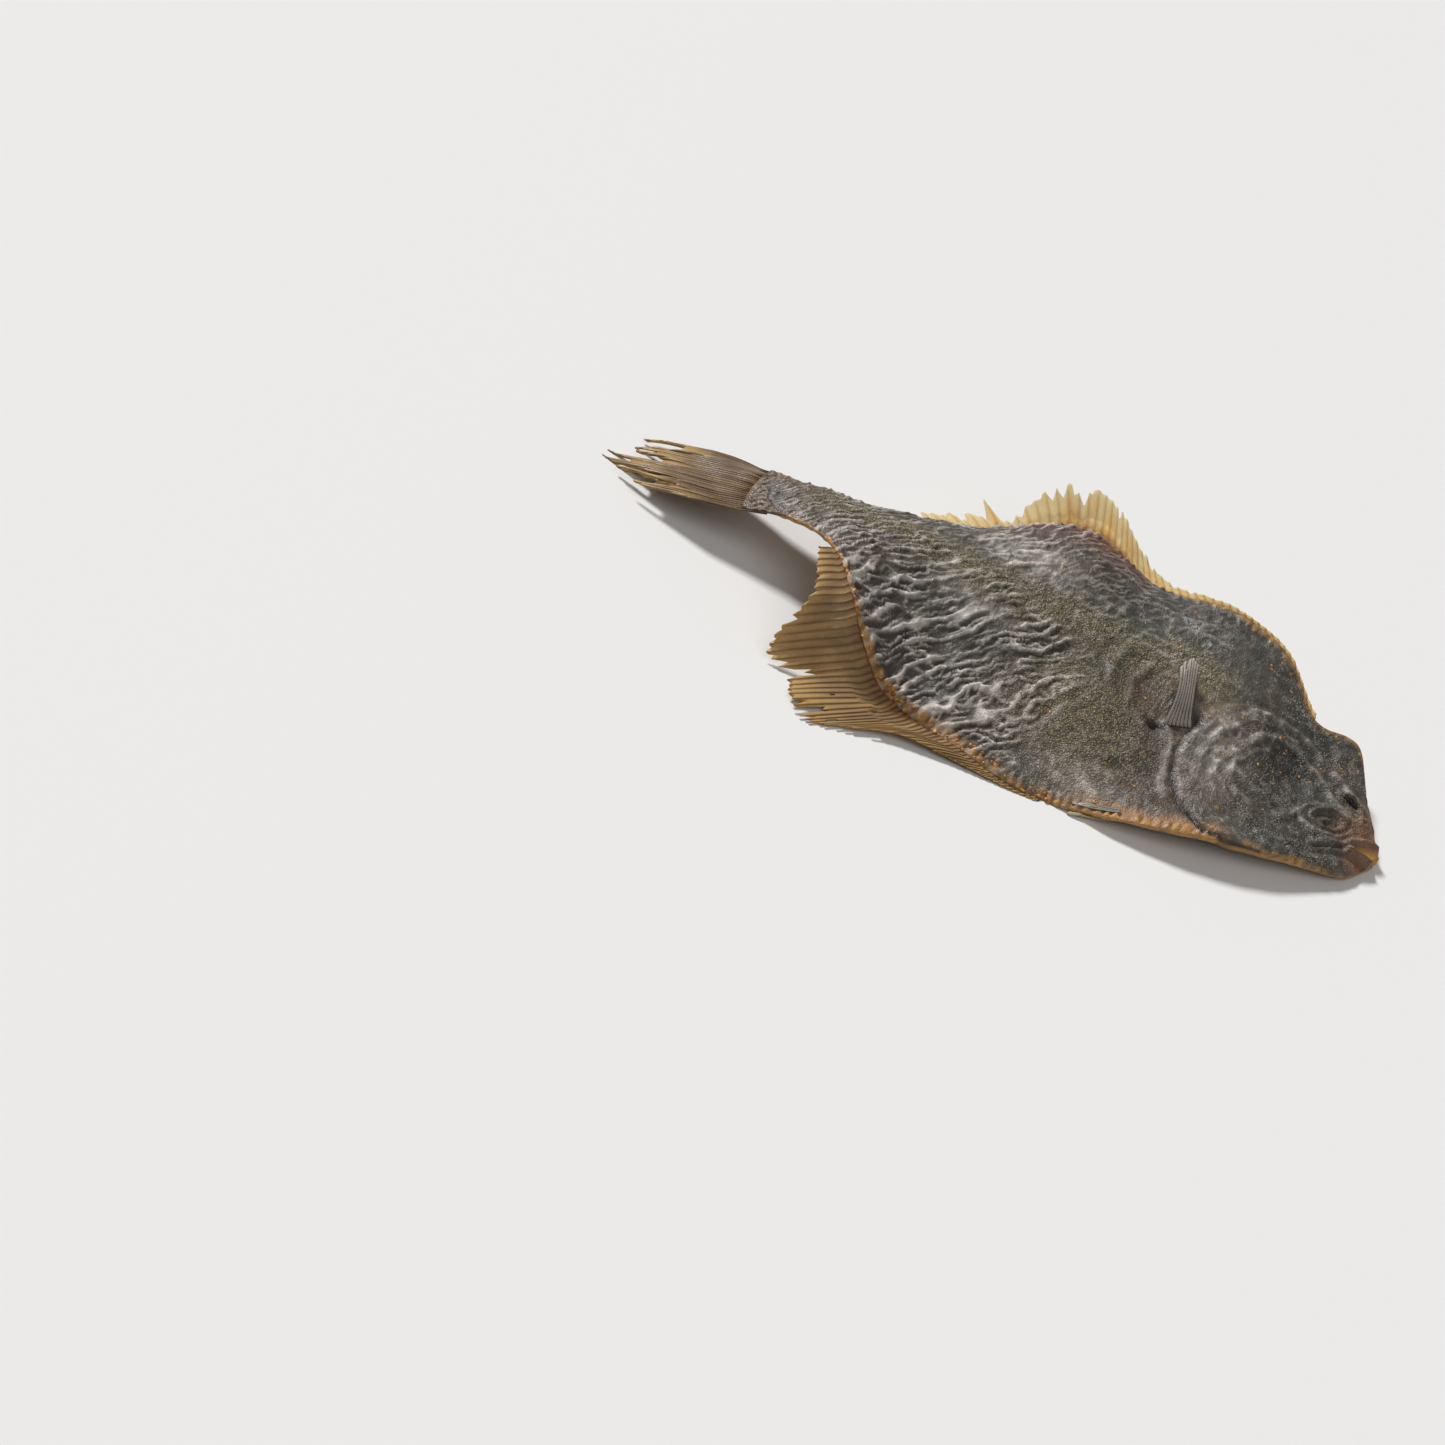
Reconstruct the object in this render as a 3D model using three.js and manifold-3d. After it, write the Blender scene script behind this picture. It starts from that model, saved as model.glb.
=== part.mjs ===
// A whole dried plaice, lying on its blind side with both eyes up.
// Millimetres. +X runs to the snout, +Y to the back fin, +Z up from the surface it rests on.
import * as THREE from "three";
import { mergeVertices } from "three/addons/utils/BufferGeometryUtils.js";
import Module from "manifold-3d";

// ---------------------------------------------------------------- driving dimensions
const LENGTH = 270; // snout to the longest tail ray
const SKIN_END = 0.825; // where the scaled skin ends, as a part of the length
const SNOUT_ROUND = 0.03; // stretch over which the snout rounds off, as a part of the length
const TAIL_ROUND = 0.006; // the same at the end of the skin
const EYED_SHARE = 0.3; // how much of the depth stands above the middle sheet
const SWELL = 1.1; // fullness of the cross-sections: 1 is a half oval, more is leaner
const FIN_THICK = 1; // dried fin, rays and web together
const PAIRED_THICK = 0.8; // dried paired fins
const FIN_GAP = 0.8; // clear of the body's edge
const FIT_GAP = 0.3; // clear between neighbouring pieces
const EYE_SUNK = 0.35; // how much of an eye's depth lies under the skin's surface
const HEEL = 6.5; // degrees, belly edge down
const TRIM = -1.55; // degrees, tail down
const SETTLE = 1.2; // how far the soft skin flattened where it dried on its rest
const LOWEST = -5.4; // lowest point of the turned fish, before it is settled
const SNOUT_X = 135.4; // snout ahead of the middle of the whole fish
const SPINE_Y = 8.28; // spine beside the middle of the whole fish

// ---------------------------------------------------------------- curves along the fish
// A smooth curve through [along, value] points, level past its ends. Along runs 0 at the
// snout to 1 at the tail's tip.
function profile(points) {
  const last = points.length - 1;
  const rise = (i, j) => (points[j][1] - points[i][1]) / (points[j][0] - points[i][0]);
  const slope = points.map((point, i) => {
    if (i === 0) return rise(0, 1);
    if (i === last) return rise(last - 1, last);
    const before = points[i][0] - points[i - 1][0];
    const after = points[i + 1][0] - points[i][0];
    return (rise(i - 1, i) * after + rise(i, i + 1) * before) / (before + after);
  });
  return (along) => {
    const a = THREE.MathUtils.clamp(along, points[0][0], points[last][0]);
    let i = 0;
    while (i < last - 1 && a > points[i + 1][0]) i += 1;
    const step = points[i + 1][0] - points[i][0];
    const f = (a - points[i][0]) / step;
    const g = 1 - f;
    const ends = (1 + 2 * f) * g * g * points[i][1] + f * f * (3 - 2 * f) * points[i + 1][1];
    return ends + f * g * step * (g * slope[i] - f * slope[i + 1]);
  };
}

// The spine's height and sideways place.
const arch = profile([
  [0, -2], [0.13, 4.7], [0.26, 11.5], [0.4, 16.5], [0.55, 21.5], [0.7, 22.5], [0.82, 16.5], [1, 2.6],
]);
const sway = profile([[0, 0], [0.3, -1.6], [0.6, 0.7], [1, 0.6]]);
// Tilt of the sheet at the spine, in radians, back fin side up.
const roll = profile([
  [0, 0], [0.13, 0], [0.26, 0.19], [0.36, 0.2], [0.46, 0.24], [0.58, 0.06], [0.7, -0.28], [0.8, -0.12],
  [1, -0.2],
]);
// How fast each half curls over, in radians per millimetre.
const backCurl = profile([
  [0, -0.0067], [0.13, -0.0062], [0.26, 0.0015], [0.36, 0.009], [0.46, 0.0075], [0.58, 0.0176],
  [0.7, 0.0166], [0.82, 0.008], [1, 0],
]);
const bellyCurl = profile([
  [0, 0.0067], [0.13, 0.0073], [0.26, 0.006], [0.36, 0], [0.46, 0.0016], [0.58, -0.0088],
  [0.7, -0.0045], [0.82, -0.003], [1, 0],
]);
// Width of each half, measured over the skin, and the depth through the middle.
const backWidth = profile([
  [0, 0], [0.03, 16.5], [0.07, 34.7], [0.13, 35.5], [0.18, 48], [0.25, 52.8], [0.34, 54.8],
  [0.43, 55.2], [0.52, 52.7], [0.6, 45.3], [0.66, 34.7], [0.72, 19.7], [0.77, 13.8], [0.83, 14.6],
]);
const bellyWidth = profile([
  [0, 6.1], [0.03, 16.6], [0.07, 24.4], [0.13, 33.7], [0.18, 39.5], [0.25, 46.3], [0.34, 52.2],
  [0.43, 56], [0.52, 53.3], [0.6, 47.6], [0.66, 35], [0.72, 18.5], [0.77, 12.4], [0.83, 13.8],
]);
const depth = profile([
  [0, 4.5], [0.06, 8], [0.15, 11], [0.28, 10.5], [0.45, 8.5], [0.62, 7], [0.75, 6], [0.83, 2.5],
]);

// ---------------------------------------------------------------- the middle sheet
// Each cross-section of the sheet is two arcs that meet at the spine. Across is the distance
// over the sheet from the spine, towards the back fin when positive.
const curlAt = (along, across) => (across > 0 ? -backCurl(along) : bellyCurl(along));

function sheet(along, across) {
  const half = (curlAt(along, across) * across) / 2;
  const chord = Math.abs(half) < 1e-6 ? across : (across * Math.sin(half)) / half;
  const angle = roll(along) + half;
  return new THREE.Vector3(
    -along * LENGTH,
    sway(along) + chord * Math.cos(angle),
    arch(along) + chord * Math.sin(angle),
  );
}

const slopeAt = (along, across) => roll(along) + curlAt(along, across) * across;

function sheetNormal(along, across) {
  const angle = slopeAt(along, across);
  return new THREE.Vector3(0, -Math.sin(angle), Math.cos(angle));
}

// Half widths at a place along the fish, rounded off at the snout. Side is 1 for the back
// fin's half and -1 for the belly's.
function halfWidth(along, side) {
  const left = 1 - Math.min(along / SNOUT_ROUND, 1);
  return Math.sqrt(1 - left * left) * (side > 0 ? backWidth(along) : bellyWidth(along));
}

// A point at a height over the middle sheet, or under it when negative.
const offSheet = (along, across, height) =>
  sheet(along, across).addScaledVector(sheetNormal(along, across), height);

// Height of the skin over the sheet: face is 1 on the eyed side and -1 on the blind side.
function skinHeight(along, across, face) {
  const side = across > 0 ? 1 : -1;
  const part = Math.min(Math.abs(across) / halfWidth(along, side), 1);
  const share = face > 0 ? EYED_SHARE : EYED_SHARE - 1;
  return share * depth(along) * Math.pow(1 - part * part, SWELL / 2);
}

// The dried fish as it rests: heeled, trimmed and settled, with what would lie under the
// surface flattened on it.
const resting = new THREE.Matrix4()
  .makeTranslation(SNOUT_X, SPINE_Y, -LOWEST - SETTLE)
  .multiply(new THREE.Matrix4().makeRotationY(THREE.MathUtils.degToRad(TRIM)))
  .multiply(new THREE.Matrix4().makeRotationX(THREE.MathUtils.degToRad(HEEL)));

function laid(point) {
  point.applyMatrix4(resting);
  point.z = Math.max(point.z, 0);
  return point;
}

// ---------------------------------------------------------------- solids
// Moves every corner of a closed geometry by a formula and joins the corners that meet.
function shaped(geometry, place) {
  geometry.deleteAttribute("normal");
  geometry.deleteAttribute("uv");
  const corners = geometry.attributes.position;
  const corner = new THREE.Vector3();
  for (let i = 0; i < corners.count; i += 1) {
    const moved = laid(place(corner.fromBufferAttribute(corners, i)));
    corners.setXYZ(i, moved.x, moved.y, moved.z);
  }
  return facingOut(mergeVertices(geometry, 1e-3));
}

// Turns the faces round when the formula left them pointing in.
function facingOut(geometry) {
  const corners = geometry.attributes.position;
  const index = geometry.index.array;
  const [a, b, c] = [new THREE.Vector3(), new THREE.Vector3(), new THREE.Vector3()];
  let volume = 0;
  for (let i = 0; i < index.length; i += 3) {
    a.fromBufferAttribute(corners, index[i]);
    b.fromBufferAttribute(corners, index[i + 1]);
    c.fromBufferAttribute(corners, index[i + 2]);
    volume += a.dot(b.cross(c));
  }
  if (volume > 0) return geometry;
  for (let i = 0; i < index.length; i += 3) {
    [index[i + 1], index[i + 2]] = [index[i + 2], index[i + 1]];
  }
  return geometry;
}

// Head and trunk: a ball whose poles are the snout and the end of the skin.
function bodyShape(around, rows) {
  return shaped(new THREE.SphereGeometry(1, around, rows), (corner) => {
    const along = (SKIN_END * Math.acos(THREE.MathUtils.clamp(corner.y, -1, 1))) / Math.PI;
    const ring = Math.hypot(corner.x, corner.z);
    const s = ring < 1e-6 ? 0 : corner.x / ring;
    const face = ring < 1e-6 ? 0 : corner.z / ring;
    const tailRound = Math.sqrt(THREE.MathUtils.clamp((SKIN_END - along) / TAIL_ROUND, 0, 1));
    const across = s * halfWidth(along, s) * tailRound;
    const share = face > 0 ? EYED_SHARE : EYED_SHARE - 1;
    const bulge = Math.abs(face) ** SWELL * tailRound;
    return offSheet(along, across, share * depth(along) * bulge);
  });
}

// A thin plate: place gives a point for its two spans, each 0 to 1, and lift gives the way
// that its thickness is laid.
function plate(steps, rows, thick, place, lift) {
  return shaped(new THREE.BoxGeometry(1, 1, 1, steps, rows, 1), (corner) => {
    const [a, b] = [corner.x + 0.5, corner.y + 0.5];
    return place(a, b).addScaledVector(lift(a, b), corner.z * thick);
  });
}

// ---------------------------------------------------------------- fins along the edges
// Reach is the length of the rays, sweep their lean towards the tail, and rise how far they
// stand up from the sheet, both in degrees.
const backFin = {
  side: 1,
  from: 0.13,
  to: 0.745,
  reach: profile([
    [0.13, 1.5], [0.3, 2], [0.34, 4], [0.38, 10], [0.42, 13], [0.46, 14.5], [0.49, 13],
    [0.525, 8], [0.54, 5], [0.56, 8.5], [0.6, 9.5], [0.64, 7], [0.67, 4], [0.745, 2],
  ]),
  sweep: profile([[0.13, 20], [0.33, 40], [0.4, 28], [0.46, 22], [0.5, 35], [0.56, 50], [0.745, 60]]),
  rise: profile([[0.13, 10], [0.33, 25], [0.42, 55], [0.48, 60], [0.55, 52], [0.65, 48], [0.745, 30]]),
};
const bellyFin = {
  side: -1,
  from: 0.37,
  to: 0.7,
  reach: profile([
    [0.37, 3], [0.41, 6], [0.45, 12], [0.49, 20], [0.52, 30], [0.55, 36], [0.57, 34], [0.6, 27],
    [0.62, 29], [0.635, 24], [0.655, 14], [0.68, 9], [0.7, 6],
  ]),
  sweep: profile([[0.37, 55], [0.43, 72], [0.47, 66], [0.52, 47], [0.56, 42], [0.6, 54], [0.7, 45]]),
  rise: profile([[0.37, 30], [0.45, 20], [0.5, 27], [0.55, 36], [0.575, 36], [0.61, 0], [0.63, -14], [0.66, -5], [0.7, 5]]),
};

function edgeFin(fin, steps) {
  const stretch = (a) => fin.from + a * (fin.to - fin.from);
  const edge = (along) => fin.side * halfWidth(along, fin.side);
  const up = (along) => fin.side * slopeAt(along, edge(along)) + THREE.MathUtils.degToRad(fin.rise(along));
  const ray = (a, b) => {
    const along = stretch(a);
    const sweep = THREE.MathUtils.degToRad(fin.sweep(along));
    const out = FIN_GAP + fin.reach(along) * b * Math.cos(sweep);
    return sheet(along, edge(along)).add(
      new THREE.Vector3(
        -fin.reach(along) * b * Math.sin(sweep),
        fin.side * out * Math.cos(up(along)),
        out * Math.sin(up(along)),
      ),
    );
  };
  const lift = (a) => {
    const angle = up(stretch(a));
    return new THREE.Vector3(0, -fin.side * Math.sin(angle), Math.cos(angle));
  };
  return plate(steps, 4, FIN_THICK, ray, lift);
}

// ---------------------------------------------------------------- tail fin
const tailWidth = profile([[0.82, 14], [0.88, 16.5], [0.94, 17], [1, 14]]);
const tailEnd = profile([[-1, 0.95], [-0.5, 0.97], [0, 1], [0.5, 1], [1, 0.97]]);

function tailFin() {
  const root = SKIN_END + FIN_GAP / LENGTH;
  const where = (a, b) => {
    const s = 2 * b - 1;
    const along = root + a * (tailEnd(s) - root);
    return [along, s * tailWidth(along)];
  };
  return plate(10, 10, FIN_THICK, (a, b) => sheet(...where(a, b)), (a, b) => sheetNormal(...where(a, b)));
}

// ---------------------------------------------------------------- paired fins
// A small fin that lies over the skin from its root to its tip, each [along, across, width,
// height over the skin].
function pairedFin(root, tip, face) {
  const way = new THREE.Vector2((tip[0] - root[0]) * LENGTH, tip[1] - root[1]).normalize();
  const where = (a, b) => {
    const [along, across, width, height] = root.map((value, i) => value + a * (tip[i] - value));
    const spread = (b - 0.5) * width;
    return [along + (way.y * spread) / LENGTH, across - way.x * spread, height];
  };
  const place = (a, b) => {
    const [along, across, height] = where(a, b);
    return offSheet(along, across, skinHeight(along, across, face) + face * height);
  };
  const lift = (a, b) => {
    const [along, across] = where(a, b);
    return sheetNormal(along, across);
  };
  return plate(6, 4, PAIRED_THICK, place, lift);
}

// ---------------------------------------------------------------- eyes
// An eye is a flattened ball set in its socket: [along, across, length, width, depth].
const LOWER_EYE = [0.073, -1.7, 10, 6.5, 3];
const UPPER_EYE = [0.0556, 11.3, 7, 4, 2.6];

function ball([along, across, long, wide, deep], gap) {
  const centre = skinHeight(along, across, 1) - EYE_SUNK * deep;
  return shaped(new THREE.SphereGeometry(1, 16, 10), (corner) =>
    offSheet(
      along + (corner.x * (long / 2 + gap)) / LENGTH,
      across + corner.y * (wide / 2 + gap),
      centre + corner.z * (deep / 2 + gap),
    ),
  );
}

// ---------------------------------------------------------------- sockets cut in the body
const wasm = await Module();
wasm.setup();

const solidOf = (geometry) =>
  new wasm.Manifold(
    new wasm.Mesh({
      numProp: 3,
      vertProperties: new Float32Array(geometry.attributes.position.array),
      triVerts: new Uint32Array(geometry.index.array),
    }),
  );

function geometryOf(solid) {
  const { vertProperties, triVerts } = solid.getMesh();
  return new THREE.BufferGeometry()
    .setAttribute("position", new THREE.BufferAttribute(new Float32Array(vertProperties), 3))
    .setIndex(new THREE.BufferAttribute(new Uint32Array(triVerts), 1));
}

const bodyGeometry = geometryOf(
  [LOWER_EYE, UPPER_EYE].reduce(
    (body, eye) => body.subtract(solidOf(ball(eye, FIT_GAP))),
    solidOf(bodyShape(36, 56)),
  ),
);

// ---------------------------------------------------------------- the fish
const skin = { color: 0x4a4644, roughness: 0.5, metalness: 0 };
const driedFin = { color: 0x8d7448, roughness: 0.45, metalness: 0 };
const darkFin = { color: 0x57504a, roughness: 0.5, metalness: 0 };
const driedEye = { color: 0x2c2a24, roughness: 0.3, metalness: 0 };

const fish = new THREE.Group();
function add(name, geometry, finish) {
  geometry.computeVertexNormals();
  const mesh = new THREE.Mesh(geometry, new THREE.MeshStandardMaterial(finish));
  mesh.name = name;
  fish.add(mesh);
}

add("body", bodyGeometry, skin);
add("tail_fin", tailFin(), driedFin);
add("dorsal_fin", edgeFin(backFin, 48), driedFin);
add("anal_fin", edgeFin(bellyFin, 30), driedFin);
add("pectoral_fin", pairedFin([0.272, -4.5, 8, 1.2], [0.29, 17.5, 6, 4], 1), darkFin);
add("blind_side_pectoral_fin", pairedFin([0.272, -2, 7, 1.2], [0.3, 12, 5, 2], -1), darkFin);
add("pelvic_fin", pairedFin([0.285, -43, 4, 1], [0.345, -47, 7, 1.4], 1), darkFin);
add("blind_side_pelvic_fin", pairedFin([0.27, -41, 4, 1], [0.335, -50.5, 4, 0.8], -1), darkFin);
add("lower_eye", ball(LOWER_EYE, 0), driedEye);
add("upper_eye", ball(UPPER_EYE, 0), driedEye);

export default fish;
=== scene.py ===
import math

import bpy
import numpy as np
from bpy.props import FloatProperty, FloatVectorProperty, IntProperty, PointerProperty
from bpy.types import Operator, Panel, PropertyGroup
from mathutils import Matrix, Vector


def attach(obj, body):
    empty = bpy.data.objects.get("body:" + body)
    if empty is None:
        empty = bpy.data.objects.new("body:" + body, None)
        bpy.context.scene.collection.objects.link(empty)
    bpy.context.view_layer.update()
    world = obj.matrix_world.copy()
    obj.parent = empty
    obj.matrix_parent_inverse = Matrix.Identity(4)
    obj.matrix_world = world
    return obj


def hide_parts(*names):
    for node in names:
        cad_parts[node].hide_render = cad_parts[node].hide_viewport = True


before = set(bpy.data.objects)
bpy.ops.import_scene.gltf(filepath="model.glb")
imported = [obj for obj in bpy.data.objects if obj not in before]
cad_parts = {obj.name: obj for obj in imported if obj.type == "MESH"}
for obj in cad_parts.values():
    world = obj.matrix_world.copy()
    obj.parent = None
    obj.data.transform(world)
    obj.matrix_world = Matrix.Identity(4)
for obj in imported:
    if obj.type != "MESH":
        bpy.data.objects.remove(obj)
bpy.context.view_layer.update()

bl_info = {
    "name": "Dried plaice",
    "version": (1, 0, 0),
    "blender": (4, 5, 0),
    "location": "View3D > Sidebar > Plaice",
    "description": "Models a whole dried plaice: skin, fins, eyes, and a plain stage",
    "category": "Add Mesh",
}

MM = 0.001

# ---------------------------------------------------------------- shape of the fish, in millimetres
# The fish is measured along, from 0 at the snout to 1 at the tail's tip, and across, over the
# skin from the spine, towards the back fin when positive.
LENGTH = 270.0
SKIN_END = 0.825
SNOUT_ROUND = 0.03
TAIL_ROUND = 0.006
# the share of the body's depth that lies above the middle sheet, the power that rounds its section,
# fuller when lower, and the largest share of the depth that a groove takes away
EYED_SHARE = 0.3
FULLNESS = 0.55
GROOVE_LIMIT = 0.45
# how the fish rests: its turns about its length and its width, where its snout and spine lie, its
# lowest point before it is laid down, and how far it settles, going flat where it meets the surface;
# worked out with separate programs
HEEL = math.radians(6.5)
TRIM = math.radians(-1.55)
SNOUT_X = 135.4
SPINE_Y = 8.28
LOWEST = -5.4
SETTLE = 1.2


def profile(*points):
    """A smooth curve through (along, value) points, level past its ends."""
    place = np.array([point[0] for point in points], float)
    value = np.array([point[1] for point in points], float)
    slope = np.gradient(value, place)

    def curve(along):
        a = np.clip(along, place[0], place[-1])
        i = np.clip(np.searchsorted(place, a) - 1, 0, len(place) - 2)
        step = place[i + 1] - place[i]
        f = (a - place[i]) / step
        g = 1 - f
        ends = (1 + 2 * f) * g * g * value[i] + f * f * (3 - 2 * f) * value[i + 1]
        return ends + f * g * step * (g * slope[i] - f * slope[i + 1])

    return curve


# The seven curves from arch to belly_width were fitted to the fish's outline by a separate program
# and rounded, and a few of their points were then changed by hand.
arch = profile(
    (0, -2), (0.13, 4.7), (0.26, 11.5), (0.4, 16.5), (0.55, 21.5), (0.7, 22.5), (0.82, 16.5), (1, 2.6)
)
sway = profile((0, 0), (0.3, -1.6), (0.6, 0.7), (1, 0.6))
roll = profile(
    (0, 0), (0.13, 0), (0.26, 0.19), (0.36, 0.2), (0.46, 0.24), (0.58, 0.06), (0.7, -0.28), (0.8, -0.12),
    (1, -0.2),
)
back_curl = profile(
    (0, -0.0067), (0.13, -0.0062), (0.26, 0.0015), (0.36, 0.009), (0.46, 0.0075), (0.58, 0.0176),
    (0.7, 0.0166), (0.82, 0.008), (1, 0),
)
belly_curl = profile(
    (0, 0.0067), (0.13, 0.0073), (0.26, 0.006), (0.36, 0), (0.46, 0.0016), (0.58, -0.0088),
    (0.7, -0.0045), (0.82, -0.003), (1, 0),
)
back_width = profile(
    (0, 0), (0.03, 16.5), (0.07, 34.7), (0.13, 35.5), (0.18, 48), (0.25, 52.8), (0.34, 54.8),
    (0.43, 55.2), (0.52, 52.7), (0.6, 45.3), (0.66, 34.7), (0.72, 19.7), (0.77, 13.8), (0.83, 14.6),
)
belly_width = profile(
    (0, 6.1), (0.03, 16.6), (0.07, 24.4), (0.13, 33.7), (0.18, 39.5), (0.25, 46.3), (0.34, 52.2),
    (0.43, 56), (0.52, 53.3), (0.6, 47.6), (0.66, 35), (0.72, 18.5), (0.77, 12.4), (0.83, 13.8),
)
depth = profile(
    (0, 4.5), (0.06, 8), (0.15, 11), (0.28, 10.5), (0.45, 8.5), (0.62, 7), (0.75, 6), (0.83, 2.5)
)


def curl_at(along, across):
    """How fast the sheet's slope changes across the fish, in radians per millimetre."""
    return np.where(across > 0, -back_curl(along), belly_curl(along))


def slope_at(along, across):
    """The sheet's slope across the fish, in radians."""
    return roll(along) + curl_at(along, across) * across


def sheet(along, across):
    """The fish's middle sheet: two arcs that meet at the spine in each cross-section."""
    along, across = np.broadcast_arrays(np.asarray(along, float), np.asarray(across, float))
    half = curl_at(along, across) * across / 2
    chord = across * np.sinc(half / math.pi)
    angle = roll(along) + half
    return np.stack(
        [-along * LENGTH, sway(along) + chord * np.cos(angle), arch(along) + chord * np.sin(angle)], -1
    )


def sheet_normal(along, across):
    """The way out of the sheet, towards the eyed side."""
    angle = slope_at(along, across)
    return np.stack([0 * angle, -np.sin(angle), np.cos(angle)], -1)


def off_sheet(along, across, height):
    """Points at a height over the middle sheet."""
    return sheet(along, across) + sheet_normal(along, across) * np.asarray(height)[..., None]


def half_width(along, side):
    """Millimetres from the spine to the edge, on the back's side when side is positive."""
    left = 1 - np.clip(along / SNOUT_ROUND, 0, 1)
    return np.sqrt(1 - left * left) * np.where(side > 0, back_width(along), belly_width(along))


def outline_nudge(x, side):
    """Millimetres that the forehead stands out past the plain outline, and the snout draws in."""
    forehead = 2.1 * hump(x - 17.5, 4.2) - 1.5 * hump(x - 9, 2.3) + 0.5 * hump(x - 4.5, 1.4)
    return np.where(side > 0, forehead, 0) + 0.35 * noise(x / 7, 2 + np.sign(side), 91) * rise(8, 20, x)


def skin_height(along, across, face):
    """Height of the plain skin over the sheet, face 1 for the eyed side and -1 for the blind."""
    part = np.clip(np.abs(across) / half_width(along, across), 0, 1)
    share = np.where(face > 0, EYED_SHARE, EYED_SHARE - 1)
    return share * depth(along) * (1 - part * part) ** FULLNESS


def laid(points):
    """Turns the fish to the way it rests, lays it on the surface, and gives metres."""
    c, s = math.cos(HEEL), math.sin(HEEL)
    heel = np.array([[1, 0, 0], [0, c, -s], [0, s, c]])
    c, s = math.cos(TRIM), math.sin(TRIM)
    trim = np.array([[c, 0, s], [0, 1, 0], [-s, 0, c]])
    placed = points @ (trim @ heel).T + [SNOUT_X, SPINE_Y, -LOWEST - SETTLE]
    placed[..., 2] = np.maximum(placed[..., 2], 0)
    return placed * MM


# ---------------------------------------------------------------- small helpers for relief
def rise(low, high, value):
    """0 below low, 1 above high, smooth between; low may be the larger."""
    f = np.clip((value - low) / (high - low), 0, 1)
    return f * f * (3 - 2 * f)


def hump(distance, width):
    """1 at no distance, falling off smoothly over the width."""
    return np.exp(-((distance / width) ** 2))


def lattice_angle(ix, iy, seed):
    """A direction for each lattice point, scrambled from its place and the seed."""
    n = (ix.astype(np.int64) * 374761393 + iy.astype(np.int64) * 668265263 + seed * 97463477) & 0xFFFFFFFF
    n = ((n ^ (n >> 13)) * 1274126177) & 0xFFFFFFFF
    return ((n ^ (n >> 16)) & 0xFFFF) * (2 * math.pi / 65536)


def noise(x, y, seed):
    """Smooth gradient noise, about -1 to 1, with cells one unit wide."""
    x, y = np.broadcast_arrays(np.asarray(x, float), np.asarray(y, float))
    ix, iy = np.floor(x), np.floor(y)
    fx, fy = x - ix, y - iy
    total = 0
    for dx in (0, 1):
        for dy in (0, 1):
            angle = lattice_angle(ix + dx, iy + dy, seed)
            push = np.cos(angle) * (fx - dx) + np.sin(angle) * (fy - dy)
            wx = 1 - np.abs(fx - dx)
            wy = 1 - np.abs(fy - dy)
            total = total + push * wx**3 * (wx * (wx * 6 - 15) + 10) * wy**3 * (wy * (wy * 6 - 15) + 10)
    return total * 1.6


def crests(x, y, seed, sharp):
    """Narrow branching ridges, 0 to 1, where the noise crosses nought."""
    return np.clip(1 - np.abs(noise(x, y, seed)) * sharp, 0, 1) ** 1.4


def folds(p, q, seed, apart, long, wander, steep=0.66):
    """Sharp folds that run along q, a distance apart in p; they wander, fade out and start again."""
    phase = p / apart + wander * noise(p / (3.2 * apart), q / long, seed)
    phase = phase + 0.4 * wander * noise(p / (1.1 * apart), q / (0.4 * long), seed + 1)
    part = phase - np.floor(phase)
    ridge = np.where(part < steep, part / steep, (1 - part) / (1 - steep))
    lasting = rise(-0.5, 0.25, noise(phase * 0.9, q / (0.8 * long), seed + 2))
    return ridge**2.1 * (0.2 + 0.8 * lasting)


def line_distance(x, y, points):
    """Distance to a run of straight lines, and how far along it the nearest point is, 0 to 1."""
    best = np.full(np.shape(x), 1e9)
    where = np.zeros(np.shape(x))
    for i in range(len(points) - 1):
        ax, ay = points[i]
        bx, by = points[i + 1]
        long = (bx - ax) ** 2 + (by - ay) ** 2
        f = np.clip(((x - ax) * (bx - ax) + (y - ay) * (by - ay)) / long, 0, 1)
        away = np.hypot(x - ax - f * (bx - ax), y - ay - f * (by - ay))
        nearer = away < best
        best = np.where(nearer, away, best)
        where = np.where(nearer, (i + f) / (len(points) - 1), where)
    return best, where


def oval(x, y, centre, half_long, half_wide, turn=0.0):
    """1 on an oval's edge, less inside; turn in degrees from the fish's length."""
    c, s = math.cos(math.radians(turn)), math.sin(math.radians(turn))
    dx, dy = x - centre[0], y - centre[1]
    return np.hypot((dx * c + dy * s) / half_long, (-dx * s + dy * c) / half_wide)


def spot(x, y, centre, half_long, half_wide, turn=0.0):
    """A soft oval patch, 1 in its middle."""
    return hump(oval(x, y, centre, half_long, half_wide, turn), 1.0)


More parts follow.
